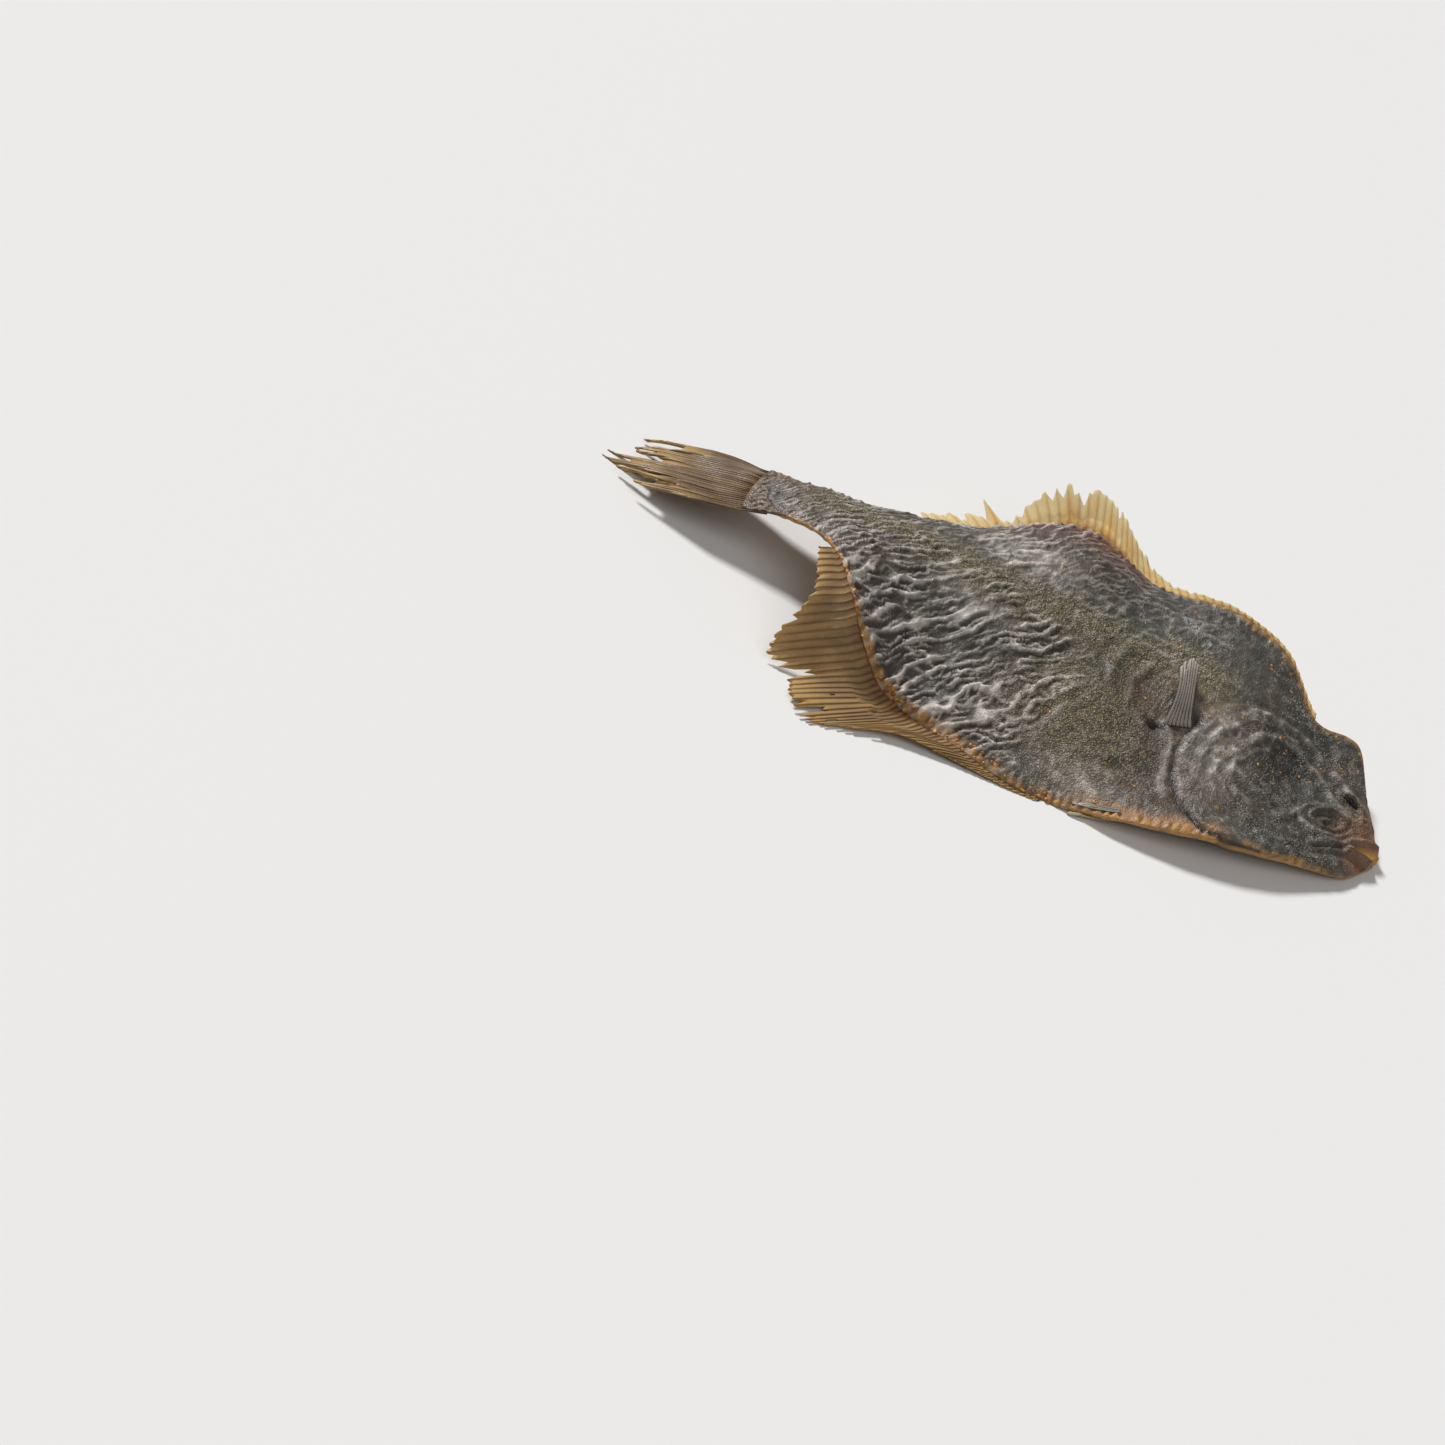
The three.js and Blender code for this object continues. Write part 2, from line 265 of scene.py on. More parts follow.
# ---------------------------------------------------------------- relief of the eyed side
# Places on the skin are (millimetres from the snout, millimetres across).
LOWER_EYE = (19.8, -1.7)
UPPER_EYE = (15.0, 11.3)
EYE_TURN = -39.0
MOUTH = [(-1, -1.2), (0.8, -1.7), (5.5, -3.5), (10, -6)]
LIP_FOLD = [(11.4, -7.0), (16.1, -11.8), (21.4, -16.7)]
BROW = [(53, 18.5), (47.2, 20.8), (40, 23), (34.6, 23.1), (25.1, 20.1), (17.2, 14.6), (10.8, 11.6)]
GILL_RIM = [
    (41, 23), (52.5, 19.5), (61, 8.8), (67.3, -2.9), (68.9, -12.3), (67.8, -19.9), (64.5, -27),
    (59.9, -32.6), (54.1, -36.8), (46, -36.3), (36, -32.5),
]
CHEEK_FOLDS = [
    [(38, 17), (46.2, 14.9), (53, 3.5), (57.8, -8.7), (57.8, -16.8), (54, -25)],
    [(44, 10), (49.9, 3.7), (53.6, -4.3), (53, -10.6), (49, -17)],
    [(44, 20), (54, 14.5), (61, 2), (63.5, -10), (62, -20)],
    [(28, -2), (31, -10), (36, -16), (43, -19)],
]
SHOULDER = [(77.3, -6), (72.6, -12.4), (72, -20), (71.2, -27.1), (68, -33)]
LATERAL_LINE = [
    (199, 5), (166, 4.1), (138.5, 5.5), (119, 8.2), (106.3, 12.3), (93, 13), (83, 20), (72, 21), (55, 23.5),
    (38, 27),
]
SECOND_BROW = [(38, 17.5), (28, 14), (21, 8.5), (14, 3.5)]
LOWER_GAP = [(59, -35), (54, -38.5), (46, -38), (36, -34.5)]
JAW = [(3, -6.5), (12, -12), (22, -20), (34, -28)]
# soft folds behind the pectoral fin and on the belly: the line, its height and its width
SOFT_FOLDS = [
    ([(96, 15), (99, 5), (98, -4)], 0.9, 1.8),
    ([(88, 12), (91, 4), (90, -6)], 1.0, 1.6),
    ([(104, -30), (94, -37), (84, -36)], 0.9, 2.6),
    ([(82, -22), (88, -30), (97, -34)], 0.6, 2.0),
]


def eyed_relief(x, t, s):
    """Height of the eyed side's relief in millimetres, and masks for its finish.

    x is millimetres from the snout, t millimetres across, and s the same as t but from -1 to 1
    between the two edges.
    """
    inner = 1 - rise(0.92, 1.0, np.abs(s))
    head = 1 - rise(46, 66, x + 0.25 * np.abs(t))

    # long wrinkles that run across the flank and lean towards the head
    wander = noise(x / 30, t / 26, 3) * 3 + 0.5 * noise(x / 4.2, t / 3.6, 2)
    wander = wander + 0.25 * noise(x / 1.9, t / 1.7, 4)
    p = x * 0.79 + t * 0.61 + wander
    q = -x * 0.61 + t * 0.79
    flank = rise(96, 120, x + 0.15 * t) * (1 - rise(180, 206, x))
    belly_side = flank * (1 - rise(-2, 13, t + 6 * noise(x / 15, t / 15, 5)))
    back_side = rise(10, 20, t) * rise(122, 142, x + 0.2 * t) * (1 - rise(178, 200, x))
    smooth_back = rise(8, 18, t) * rise(64, 76, x) * (1 - rise(112, 128, x))
    tail_side = rise(170, 186, x)
    patchy = 0.5 + 0.5 * rise(-0.45, 0.25, noise(x / 19, t / 15, 9))
    strong = np.clip(belly_side + 0.75 * back_side, 0, 1) * patchy
    main = folds(p, q, 11, 4.2, 22, 0.8)
    cross = folds(p * 0.95 + q * 0.3, q, 17, 3.2, 11, 0.9, 0.4)
    small = folds(p, q, 23, 2.3, 9, 0.7)
    tiny = folds(p * 0.8 - q * 0.3, q, 29, 1.7, 5, 0.8)
    weave = np.maximum(main, 0.62 * cross)
    height = 1.7 * weave * strong
    small_high = np.clip(strong * 0.7 + 0.8 * tail_side + 0.4 * smooth_back + 0.35 * flank, 0, 1)
    height += 0.75 * small * small_high
    height += 0.28 * tiny * (0.35 + 0.65 * np.clip(strong + tail_side, 0, 1))
    low = 0.16 * (1 - rise(-26, -6, t))
    # crest marks the wrinkles' crests, painted paler: partly their dry pale skin, partly painted highlight
    crest_highlight = rise(0.4 - low, 0.74 - low, weave * (0.45 + 0.55 * patchy)) * rise(0.1, 0.5, strong)
    small_crest_highlight = np.clip(strong * 0.7 + 0.6 * tail_side + 0.3 * smooth_back + 0.25 * flank, 0, 1)
    crest_highlight = np.clip(crest_highlight + 0.8 * rise(0.3, 0.65, small) * small_crest_highlight, 0, 1)
    # valley marks painted shade in the wrinkles' valleys; it also makes them rougher
    valley_shade = np.clip((1 - weave) * strong * 1.2, 0, 1)

    # soft warps of the dried flesh
    height += 1.2 * noise(x / 33, t / 28, 31) + 0.5 * noise(x / 14, t / 11, 37)
    height += 0.16 * noise(x / 5, t / 4.5, 39)

    # long thin creases over the back, along the fish
    along_back = folds(t + 0.18 * x, x, 41, 5.0, 34, 0.8)
    height += 0.36 * along_back * smooth_back
    # the creases' tops get the same paler crest colour, partly painted highlight
    crest_highlight = np.clip(crest_highlight + 0.35 * along_back**2 * smooth_back, 0, 1)

    # lateral line, arched over the pectoral fin
    away, _ = line_distance(x, t, LATERAL_LINE)
    behind_head = rise(58, 74, x)
    height += 0.4 * hump(away, 1.2)
    height -= 0.8 * spot(x, t, (100, 3), 13, 9, 20)
    line_band = hump(away, 7 + 2.5 * noise(x / 9, t / 9, 43)) * behind_head

    # belly, the hollow behind the pectoral fin, and the folds that lead into it
    height += 1.2 * spot(x, t, (102, -22), 19, 17)
    height -= 1.7 * spot(x, t, (88, 2), 8, 8)
    for line, high, wide in SOFT_FOLDS:
        fold, _ = line_distance(x, t, line)
        height += high * hump(fold, wide)

    # gill cover: a plate with an uneven rim, a groove behind it and soft folds on it
    rim, _ = line_distance(x, t, GILL_RIM)
    rim = rim + 0.5 * noise(x / 5, t / 5, 47)
    uneven = 0.35 + 0.65 * rise(-0.3, 0.3, noise(x / 7, t / 7, 52))
    gill = oval(x, t, (43, -7), 26.5, 31)
    plate = 1 - rise(0.93, 1.05, gill)
    outside = rise(0.94, 1.04, gill)
    height += 0.6 * plate * rise(26, 46, x)
    height += 0.35 * hump(rim, 1.2) * uneven
    height -= 0.6 * hump(rim - 2.2, 1.0) * outside * uneven
    cheek_lines = 0 * x
    for line in CHEEK_FOLDS:
        fold, part = line_distance(x, t, line)
        fold = np.abs(fold + 0.8 * noise(x / 8, t / 8, 53) + 0.3 * noise(x / 2.4, t / 2.4, 54))
        fade = uneven * np.sin(math.pi * (0.1 + 0.8 * part))
        height += (0.9 * hump(fold, 1.2) - 0.35 * hump(fold - 2.2, 1.2)) * fade
        cheek_lines = np.maximum(cheek_lines, hump(fold, 0.6) * fade)
    fine_folds = folds(gill * 30 + 1.5 * noise(x / 5, t / 5, 55), t, 57, 2.1, 9, 1.1)
    streaked = rise(0.35, 0.75, gill) * plate * rise(30, 48, x) * (0.3 + 0.7 * rise(-26, -4, t)) * uneven
    height += 0.4 * fine_folds * streaked
    collar, _ = line_distance(x, t, SHOULDER)
    collar = collar + 0.5 * noise(x / 4, t / 4, 56)
    height += 1.0 * hump(collar, 1.3)
    height -= 1.9 * spot(x, t, (37, 9), 9.5, 10.5, 20)
    lower_gap, _ = line_distance(x, t, LOWER_GAP)
    height -= 0.9 * hump(lower_gap, 1.0)

    # brow ridge with its bony knobs, and the sunken flap beyond it
    brow, along_brow = line_distance(x, t, BROW)
    knobs = 0.72 + 0.28 * np.cos(along_brow * 2 * math.pi * 8 + 2 * noise(x / 4, t / 4, 59))
    height += 1.4 * hump(brow, 1.7) * knobs
    second_brow, _ = line_distance(x, t, SECOND_BROW)
    height += 0.8 * hump(second_brow, 1.4)
    flap = spot(x, t, (20.5, 24), 9, 5, -38)
    height -= 0.7 * flap

    # lower eye: a rim, an outer ring of skin, and a hollow
    lower = oval(x, t, LOWER_EYE, 5.9, 3.3, EYE_TURN)
    lid = rise(-3, 3, (x - LOWER_EYE[0]) * 0.63 - (t - LOWER_EYE[1]) * -0.78)
    height += (0.5 + 0.4 * lid) * hump(lower - 1.16, 0.12)
    height -= 0.9 * (1 - rise(0.7, 1.0, lower))
    lower_ring = oval(x, t, (20.2, -2.0), 9.8, 5.4, EYE_TURN)
    height += 0.4 * hump(lower_ring - 1.06 + 0.06 * noise(x / 3, t / 3, 58), 0.08)

    # upper eye: a slit under the brow
    upper = oval(x, t, UPPER_EYE, 3.2, 1.15, 15)
    height += 0.6 * hump(upper - 1.35, 0.4)
    height -= 1.5 * (1 - rise(0.5, 1.0, upper))

    # nostril, mouth and lips
    nostril = np.hypot(x - 8.7, t - 7.1)
    height += 1.5 * hump(nostril, 2.2) - 1.3 * hump(nostril - 0.2, 0.6)
    gape, along_gape = line_distance(x, t, MOUTH)
    opening = 2.9 * np.clip(1 - along_gape, 0, 1) ** 0.6 + 0.2
    mouth = 1 - rise(0.6, 1.0, gape / opening)
    lips = hump(gape - opening - 1.2, 1.2) * (1 - rise(11, 14, x))
    height += 2.0 * lips - 1.9 * mouth
    lip_fold, _ = line_distance(x, t, LIP_FOLD)
    height -= 0.6 * hump(lip_fold, 0.5)
    height += 0.5 * hump(lip_fold - 1.7, 0.9)
    jaw, _ = line_distance(x, t, JAW)
    height -= 0.5 * hump(jaw, 1.1)
    snout_lines = folds(t - 0.5 * x, x, 61, 2.4, 11, 0.8) * (1 - rise(22, 34, x))
    height += 0.35 * snout_lines
    height += 0.4 * noise(x / 5, t / 4, 67) * head

    # hole and shadow at the pectoral fin's root
    root = np.hypot((x - 80) / 1.6, t + 8.8)
    height -= 2.2 * hump(root, 1.4)
    hollow = oval(x, t, (68.4, 2.3), 2.4, 3.4, -30)
    height -= 1.3 * hump(hollow, 1.0)

    # knobs along both edges, where the fin rays are rooted
    edge = rise(0.90, 0.95, np.abs(s)) * (1 - rise(0.985, 1.0, np.abs(s))) * rise(36, 60, x)
    beads = 0.5 + 0.5 * np.cos(x * 2 * math.pi / 2.9 + 1.6 * noise(x / 6, t / 30, 71))
    beads = beads * (0.35 + 0.65 * rise(-0.3, 0.3, noise(x / 5, t / 20, 73)))
    height += 0.7 * edge * beads * (1 - rise(196, 206, x))

    # the end of the scaled skin over the tail's root
    tail_arc = x - 217 + 9 * (t / 12) ** 2
    tail_root = rise(190, 205, x)
    height -= 0.4 * hump(tail_arc, 0.8) * tail_root
    bare = rise(0, 1.5, tail_arc) * tail_root
    streaks = 0.5 + 0.5 * np.cos(t * 2 * math.pi / 1.3 + 0.8 * noise(x / 12, t / 3, 85))
    height += bare * (0.25 * streaks - 0.3)
    # paler stripes over the tail's root, partly painted highlight on their ridges
    crest_highlight = np.clip(crest_highlight * (1 - bare) + 0.3 * bare * streaks**2, 0, 1)

    ragged_edge = np.abs(s) + 0.035 * noise(x / 7, t / 7, 79) + 0.02 * noise(x / 2.5, t / 2.5, 83)
    amber = rise(0.92, 0.985, ragged_edge) * np.where(t < 0, 1.0, 0.8) * rise(4, 20, x)
    cheek = spot(x, t, (60, -4), 9, 17, -15)
    olive = line_band + 1.15 * spot(x, t, (101, -22), 17, 18)
    olive = olive + 0.5 * spot(x, t, (72, 12), 12, 8)
    grain = line_band + 1.2 * spot(x, t, (98, -24), 26, 24)
    grain = grain + head * (0.2 + 0.6 * rise(-0.1, 0.4, noise(x / 9, t / 9, 81)))
    maroon = rise(0.60, 0.9, s) * rise(92, 112, x) * (1 - rise(146, 160, x))
    maroon = maroon + 0.5 * rise(0.72, 0.95, -s) * rise(120, 140, x) + 0.4 * flap

    # pale marks paler skin on the collar, folds, rims and brows, and the sheen over the gill and lower belly:
    # partly real pale skin, partly painted highlight and sheen
    pale_and_highlight = 1.1 * spot(x, t, (92, -41), 14, 7, 15)
    pale_and_highlight = pale_and_highlight + 0.8 * spot(x, t, (137, 24), 16, 7, 5)
    pale_and_highlight = pale_and_highlight + 0.7 * spot(x, t, (148, -6), 12, 6)
    pale_and_highlight = pale_and_highlight + 0.8 * hump(collar, 1.2) + cheek_lines + 0.4 * hump(rim, 0.8) * uneven
    pale_and_highlight = pale_and_highlight + 0.9 * fine_folds * streaked + 0.55 * cheek + 0.45 * hump(second_brow, 1.2)
    pale_and_highlight = pale_and_highlight + 0.5 * hump(brow, 1.2) + 0.5 * hump(lower_ring - 1.06, 0.1)

    # deep marks painted shade, near black: in the grooves at the tail's root and behind the gill rim, between
    # the tail root's stripes, in the pectoral fin's hole and the hollow beside it, in the eyes, the lower
    # gap, the lip fold, the mouth's gape and the cheek's hollow
    deep = 0.6 * hump(tail_arc, 0.5) * tail_root + 0.5 * bare * (1 - streaks) ** 2
    deep = deep + 1.2 * hump(root, 1.6) + 0.9 * hump(hollow, 1.0) + 0.8 * (1 - rise(0.6, 1.0, upper))
    deep = deep + hump(lower_gap, 0.7) + 0.9 * hump(rim - 1.8, 0.7) * outside * (1 - rise(-34, -10, t))
    deep = deep + 0.4 * hump(rim - 2.2, 1.0) * outside + 0.35 * (1 - rise(0.5, 1.0, lower))
    deep = deep + 0.35 * hump(lip_fold, 0.4) + 0.7 * mouth * hump(gape, 0.35) * rise(3, 8, x)
    deep = deep + 0.75 * spot(x, t, (38, 10), 8, 9.5, 20)

    dim = head * rise(18, 26, x) * (1 - 0.8 * cheek) + 0.8 * smooth_back + 0.5 * back_side
    throat = 1 - rise(-0.93, -0.82, s + 0.04 * noise(x / 6, t / 6, 89))
    masks = {
        "crest_highlight": crest_highlight,
        "valley_shade": valley_shade,
        "olive": np.clip(olive, 0, 1),
        "amber": np.clip(amber * (0.35 + 0.65 * beads) + 0.3 * edge * beads * rise(90, 120, x), 0, 1),
        "grain": np.clip(grain, 0, 1),
        "head": head,
        "maroon": maroon,
        "pale_and_highlight": np.clip(pale_and_highlight, 0, 1),
        "deep": np.clip(deep, 0, 1),
        "dim": np.clip(dim, 0, 1),
        "mouth": mouth,
        "snout": 1 - rise(9, 24, x + 0.5 * np.abs(t)),
        "bare": bare,
        "flesh": throat * rise(44, 54, x) * (1 - rise(82, 98, x)),
    }
    return height * inner + 0.45 * edge * beads, masks


def blind_relief(x, t, s):
    """The same for the underside, smoother and paler."""
    inner = 1 - rise(0.9, 1.0, np.abs(s))
    p = x * 0.9 + t * 0.4 + 3 * noise(x / 25, t / 25, 103)
    q = -x * 0.4 + t * 0.9
    body = rise(70, 110, x)
    wrinkle = crests(p / 7, q / 22, 107, 2.6) * body
    fine = crests(p / 3, q / 9, 109, 2.4)
    height = 0.55 * wrinkle + 0.15 * fine + 0.7 * noise(x / 30, t / 28, 113)
    away, _ = line_distance(x, t, [(199, 5), (138, 2), (105, 3), (70, 6)])
    height += 0.3 * hump(away, 1.2)
    gill = oval(x, t, (45, -8), 25.0, 28)
    behind = rise(38, 50, x)
    height += 0.9 * (1 - rise(0.95, 1.03, gill)) * rise(24, 44, x)
    height -= 0.6 * hump(gill - 1.05, 0.04) * behind
    gape, along_gape = line_distance(x, t, MOUTH)
    mouth = 1 - rise(0.5, 1.0, gape / (1.6 * np.sqrt(np.clip(1 - along_gape, 0, 1)) + 0.4))
    height += 0.8 * hump(gape - 2.6, 1.1) * (1 - rise(16, 22, x)) - 2.0 * mouth
    masks = {name: 0 * x for name in ("olive", "maroon", "pale_and_highlight", "valley_shade", "snout", "dim", "flesh")}
    # painted highlight on the underside's wrinkles, partly paler dry skin
    masks["crest_highlight"] = 0.6 * wrinkle
    masks["grain"] = 0.35 + 0 * x
    masks["head"] = 1 - rise(46, 62, x)
    masks["amber"] = rise(0.86, 0.98, np.abs(s))
    # painted shade in the groove behind the gill cover
    masks["deep"] = 0.7 * hump(gill - 1.05, 0.03) * behind
    masks["mouth"] = mouth
    masks["bare"] = rise(205, 214, x)
    return height * inner, masks


def surface_height(x, t):
    """Height over the sheet of the finished eyed side, x from the snout and t across."""
    s = np.clip(t / half_width(x / LENGTH, t), -1, 1)
    relief, _ = eyed_relief(x, t, s)
    return skin_height(x / LENGTH, t, 1) + relief


# ---------------------------------------------------------------- meshes
def clear_selection():
    """Selects nothing."""
    bpy.ops.object.select_all(action="DESELECT")


def take_mesh(name):
    """Names the primitive that was just added, and gives it and its corners."""
    piece = bpy.context.object
    piece.name = name
    piece.data.name = name
    corners = np.empty(len(piece.data.vertices) * 3, np.float32)
    piece.data.vertices.foreach_get("co", corners)
    return piece, corners.reshape(-1, 3).astype(float)


def set_corners(piece, corners):
    """Moves a piece's corners; its object stays at the origin."""
    piece.data.vertices.foreach_set("co", np.asarray(corners, np.float32).ravel())
    piece.data.update()


def set_mask(piece, name, values):
    """Stores one number per corner for the finish to read."""
    mask = piece.data.attributes.get(name) or piece.data.attributes.new(name, "FLOAT", "POINT")
    mask.data.foreach_set("value", np.ascontiguousarray(values, np.float32).ravel())


def finish_mesh(piece, material, replaces=()):
    """Turns the faces out, smooths them, and says what the piece is part of and stands for."""
    clear_selection()
    piece.select_set(True)
    bpy.context.view_layer.objects.active = piece
    bpy.ops.object.mode_set(mode="EDIT")
    bpy.ops.mesh.select_all(action="SELECT")
    bpy.ops.mesh.normals_make_consistent(inside=False)
    bpy.ops.object.mode_set(mode="OBJECT")
    bpy.ops.object.shade_smooth()
    piece.data.materials.clear()
    piece.data.materials.append(material)
    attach(piece, "root")
    if replaces:
        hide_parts(*replaces)
    clear_selection()


# ---------------------------------------------------------------- materials
class Value:
    """A number socket of a material, for maths written as an expression."""

    def __init__(self, finish, socket):
        self.finish = finish
        self.socket = socket

    def maths(self, operation, first, second):
        """One arithmetic step on two sockets or numbers."""
        return self.finish.value("ShaderNodeMath", {"operation": operation}, {0: first, 1: second})

    def __add__(self, other):
        return self.maths("ADD", self, other)

    def __radd__(self, other):
        return self.maths("ADD", other, self)

    def __sub__(self, other):
        return self.maths("SUBTRACT", self, other)

    def __rsub__(self, other):
        return self.maths("SUBTRACT", other, self)

    def __mul__(self, other):
        return self.maths("MULTIPLY", self, other)

    def __rmul__(self, other):
        return self.maths("MULTIPLY", other, self)

    def __pow__(self, other):
        return self.maths("POWER", self, other)

    def between(self, low, high, start=0.0, end=1.0):
        """Maps low to high onto start to end, smoothly."""
        settings = {"interpolation_type": "SMOOTHSTEP"}
        inputs = {"Value": self, "From Min": low, "From Max": high, "To Min": start, "To Max": end}
        return self.finish.value("ShaderNodeMapRange", settings, inputs)


class Finish:
    """Builds one node material."""

    def __init__(self, name, **fixed):
        self.material = bpy.data.materials.new(name)
        self.material.use_nodes = True
        self.tree = self.material.node_tree
        self.tree.nodes.clear()
        self.output = self.tree.nodes.new("ShaderNodeOutputMaterial")
        self.shader = self.node("ShaderNodeBsdfPrincipled", {}, fixed)
        self.tree.links.new(self.shader.outputs[0], self.output.inputs["Surface"])

    def node(self, kind, settings, inputs):
        """Adds a node with these settings and inputs."""
        made = self.tree.nodes.new(kind)
        for name, setting in settings.items():
            setattr(made, name, setting)
        for name, value in inputs.items():
            self.feed(made.inputs[name], value)
        return made

    def feed(self, socket, value):
        """Joins a socket to the value, or writes the value into it."""
        if isinstance(value, Value):
            value = value.socket
        if isinstance(value, bpy.types.NodeSocket):
            self.tree.links.new(value, socket)
        elif socket.type == "RGBA" and len(value) == 3:
            socket.default_value = (*value, 1.0)
        else:
            socket.default_value = value

    def value(self, kind, settings, inputs, output=0):
        """Adds a node and gives one of its outputs as a number."""
        return Value(self, self.node(kind, settings, inputs).outputs[output])

    def mask(self, name):
        """The numbers that set_mask stored."""
        return self.value("ShaderNodeAttribute", {"attribute_name": name}, {}, "Fac")

    def place(self):
        """Where on the piece the finish is asked for, in metres."""
        return self.node("ShaderNodeTexCoord", {}, {}).outputs["Object"]

    def stretched(self, scale):
        """The same place, scaled along each axis."""
        return self.node("ShaderNodeMapping", {}, {"Vector": self.place(), "Scale": scale}).outputs[0]

    def cloud(self, scale, detail, vector=None, rough=0.55):
        """Soft blotches, about 1 / scale metres wide."""
        inputs = {"Vector": vector or self.place(), "Scale": scale, "Detail": detail, "Roughness": rough}
        return self.value("ShaderNodeTexNoise", {}, inputs, "Fac")

    def ridges(self, scale, vector):
        """Sharp branching creases."""
        settings = {"noise_type": "RIDGED_MULTIFRACTAL"}
        inputs = {"Vector": vector, "Scale": scale, "Detail": 5.0, "Roughness": 0.6}
        inputs.update({"Offset": 0.9, "Gain": 2.0})
        return self.value("ShaderNodeTexNoise", settings, inputs, "Fac")

    def cells(self, scale):
        """Distance from the nearest of many scattered points."""
        inputs = {"Vector": self.place(), "Scale": scale}
        return self.value("ShaderNodeTexVoronoi", {"feature": "F1"}, inputs, "Distance")

    def mix(self, factor, first, second):
        """The first colour, turning into the second as the factor goes from 0 to 1."""
        node = self.node("ShaderNodeMix", {"data_type": "RGBA", "blend_type": "MIX"}, {})
        self.feed(node.inputs[0], factor)
        self.feed(node.inputs[6], first)
        self.feed(node.inputs[7], second)
        return node.outputs[2]

    def bump(self, height, distance, strength, under=None):
        """Fine relief for the light, on top of the relief given as under."""
        inputs = {"Height": height, "Distance": distance, "Strength": strength}
        if under is not None:
            inputs["Normal"] = under
        return self.node("ShaderNodeBump", {}, inputs).outputs[0]

    def set(self, **sockets):
        """Feeds the shader; an underscore stands for a space in a socket's name."""
        for name, value in sockets.items():
            self.feed(self.shader.inputs[name.replace("_", " ")], value)


def skin_finish(colours):
    """Dried skin: slate and brown, paler on its crests, partly as painted highlight and sheen, with painted
    shade in its valleys and hollows, olive and grainy along the flank.
    """
    m = Finish("dried_skin", **{"IOR": 1.45, "Specular IOR Level": 0.5})
    crest_highlight, olive, amber, pale_and_highlight = m.mask("crest_highlight"), m.mask("olive"), m.mask("amber"), m.mask("pale_and_highlight")
    grain, head, deep = m.mask("grain"), m.mask("head"), m.mask("deep")
    broad = m.cloud(38, 3).between(0.38, 0.62)
    patch = m.cloud(110, 5).between(0.34, 0.72)
    # blotches that vary the painted highlights, sheen and glints, and the paler skin
    highlight_blotches = m.cloud(260, 5).between(0.42, 0.7)
    salt = m.cloud(1900, 3).between(0.46, 0.64)
    speckle = m.cloud(800, 3).between(0.4, 0.6)
    pimple = m.cells(1350).between(0.6, 0.1)
    colour = m.mix(broad, colours.slate, colours.brown)
    colour = m.mix(0.55 * patch, colour, colours.shadow)
    colour = m.mix(0.65 * m.mask("dim"), colour, colours.cheek)
    colour = m.mix(0.7 * m.mask("maroon"), colour, colours.maroon)
    # painted shade in the wrinkles' valleys
    colour = m.mix(0.45 * m.mask("valley_shade"), colour, colours.shadow)
    # paler collar, folds, rims and brows, and sheen over the gill and lower belly: partly paler skin, partly
    # painted highlight and sheen
    colour = m.mix(0.75 * pale_and_highlight * highlight_blotches.between(0, 1, 0.35, 1.0), colour, colours.crest_highlight)
    colour = m.mix(olive * speckle.between(0, 1, 0.3, 0.85), colour, colours.olive)
    # painted shade between the small scales, then their tops lighter: partly their yellowish tint, partly
    # painted highlight
    colour = m.mix(0.5 * grain * (1 - pimple), colour, colours.shadow)
    colour = m.mix(0.7 * grain * pimple * speckle, colour, colours.grain)
    # painted glints: fine pale specks, fewer in the valleys
    colour = m.mix(0.38 * salt * highlight_blotches * (1 - 0.7 * m.mask("valley_shade")), colour, colours.crest_highlight)
    # paler crests: partly dry skin, partly painted highlight
    colour = m.mix(0.95 * crest_highlight * highlight_blotches.between(0, 1, 0.6, 1.0), colour, colours.crest_highlight)
    colour = m.mix(0.6 * m.mask("snout") * patch.between(0, 1, 1.0, 0.5), colour, colours.snout)
    fleck = m.cells(210).between(0.17, 0.1) * m.cloud(55, 2).between(0.48, 0.58)
    colour = m.mix(0.9 * fleck * head.between(0, 1, 0.3, 1.0), colour, colours.fleck)
    colour = m.mix(0.8 * m.mask("flesh"), colour, colours.flesh)
    colour = m.mix(0.9 * amber * m.cloud(300, 3).between(0.3, 0.55, 0.3, 1.0), colour, colours.amber)
    colour = m.mix(m.mask("bare"), colour, colours.tail)
    under = m.mix(m.cloud(70, 4).between(0.38, 0.62), colours.blind, colours.blind_dark)
    under = m.mix(0.5 * amber, under, colours.amber)
    colour = m.mix(m.mask("blind"), colour, under)
    colour = m.mix(m.mask("mouth"), colour, colours.mouth)
    # painted shade, near black, in the hollows, holes and grooves
    colour = m.mix(0.88 * deep, colour, colours.deep)
    rough = 0.34 + 0.12 * patch + 0.14 * grain + 0.2 * m.mask("valley_shade")
    crease = m.ridges(150, m.stretched((1.0, 0.55, 0.8)))
    normal = m.bump(crease, 0.0004, 0.7)
    normal = m.bump(m.cloud(420, 6, m.stretched((1.0, 0.4, 0.6)), 0.65), 0.0005, 0.8, normal)
    normal = m.bump(m.cloud(1700, 3), 0.00015, 0.7, normal)
    normal = m.bump(pimple * (0.1 + 0.9 * grain) * (1 - m.mask("bare")), 0.0004, 0.9, normal)
    m.set(Base_Color=colour, Roughness=rough, Normal=normal)
    return m.material


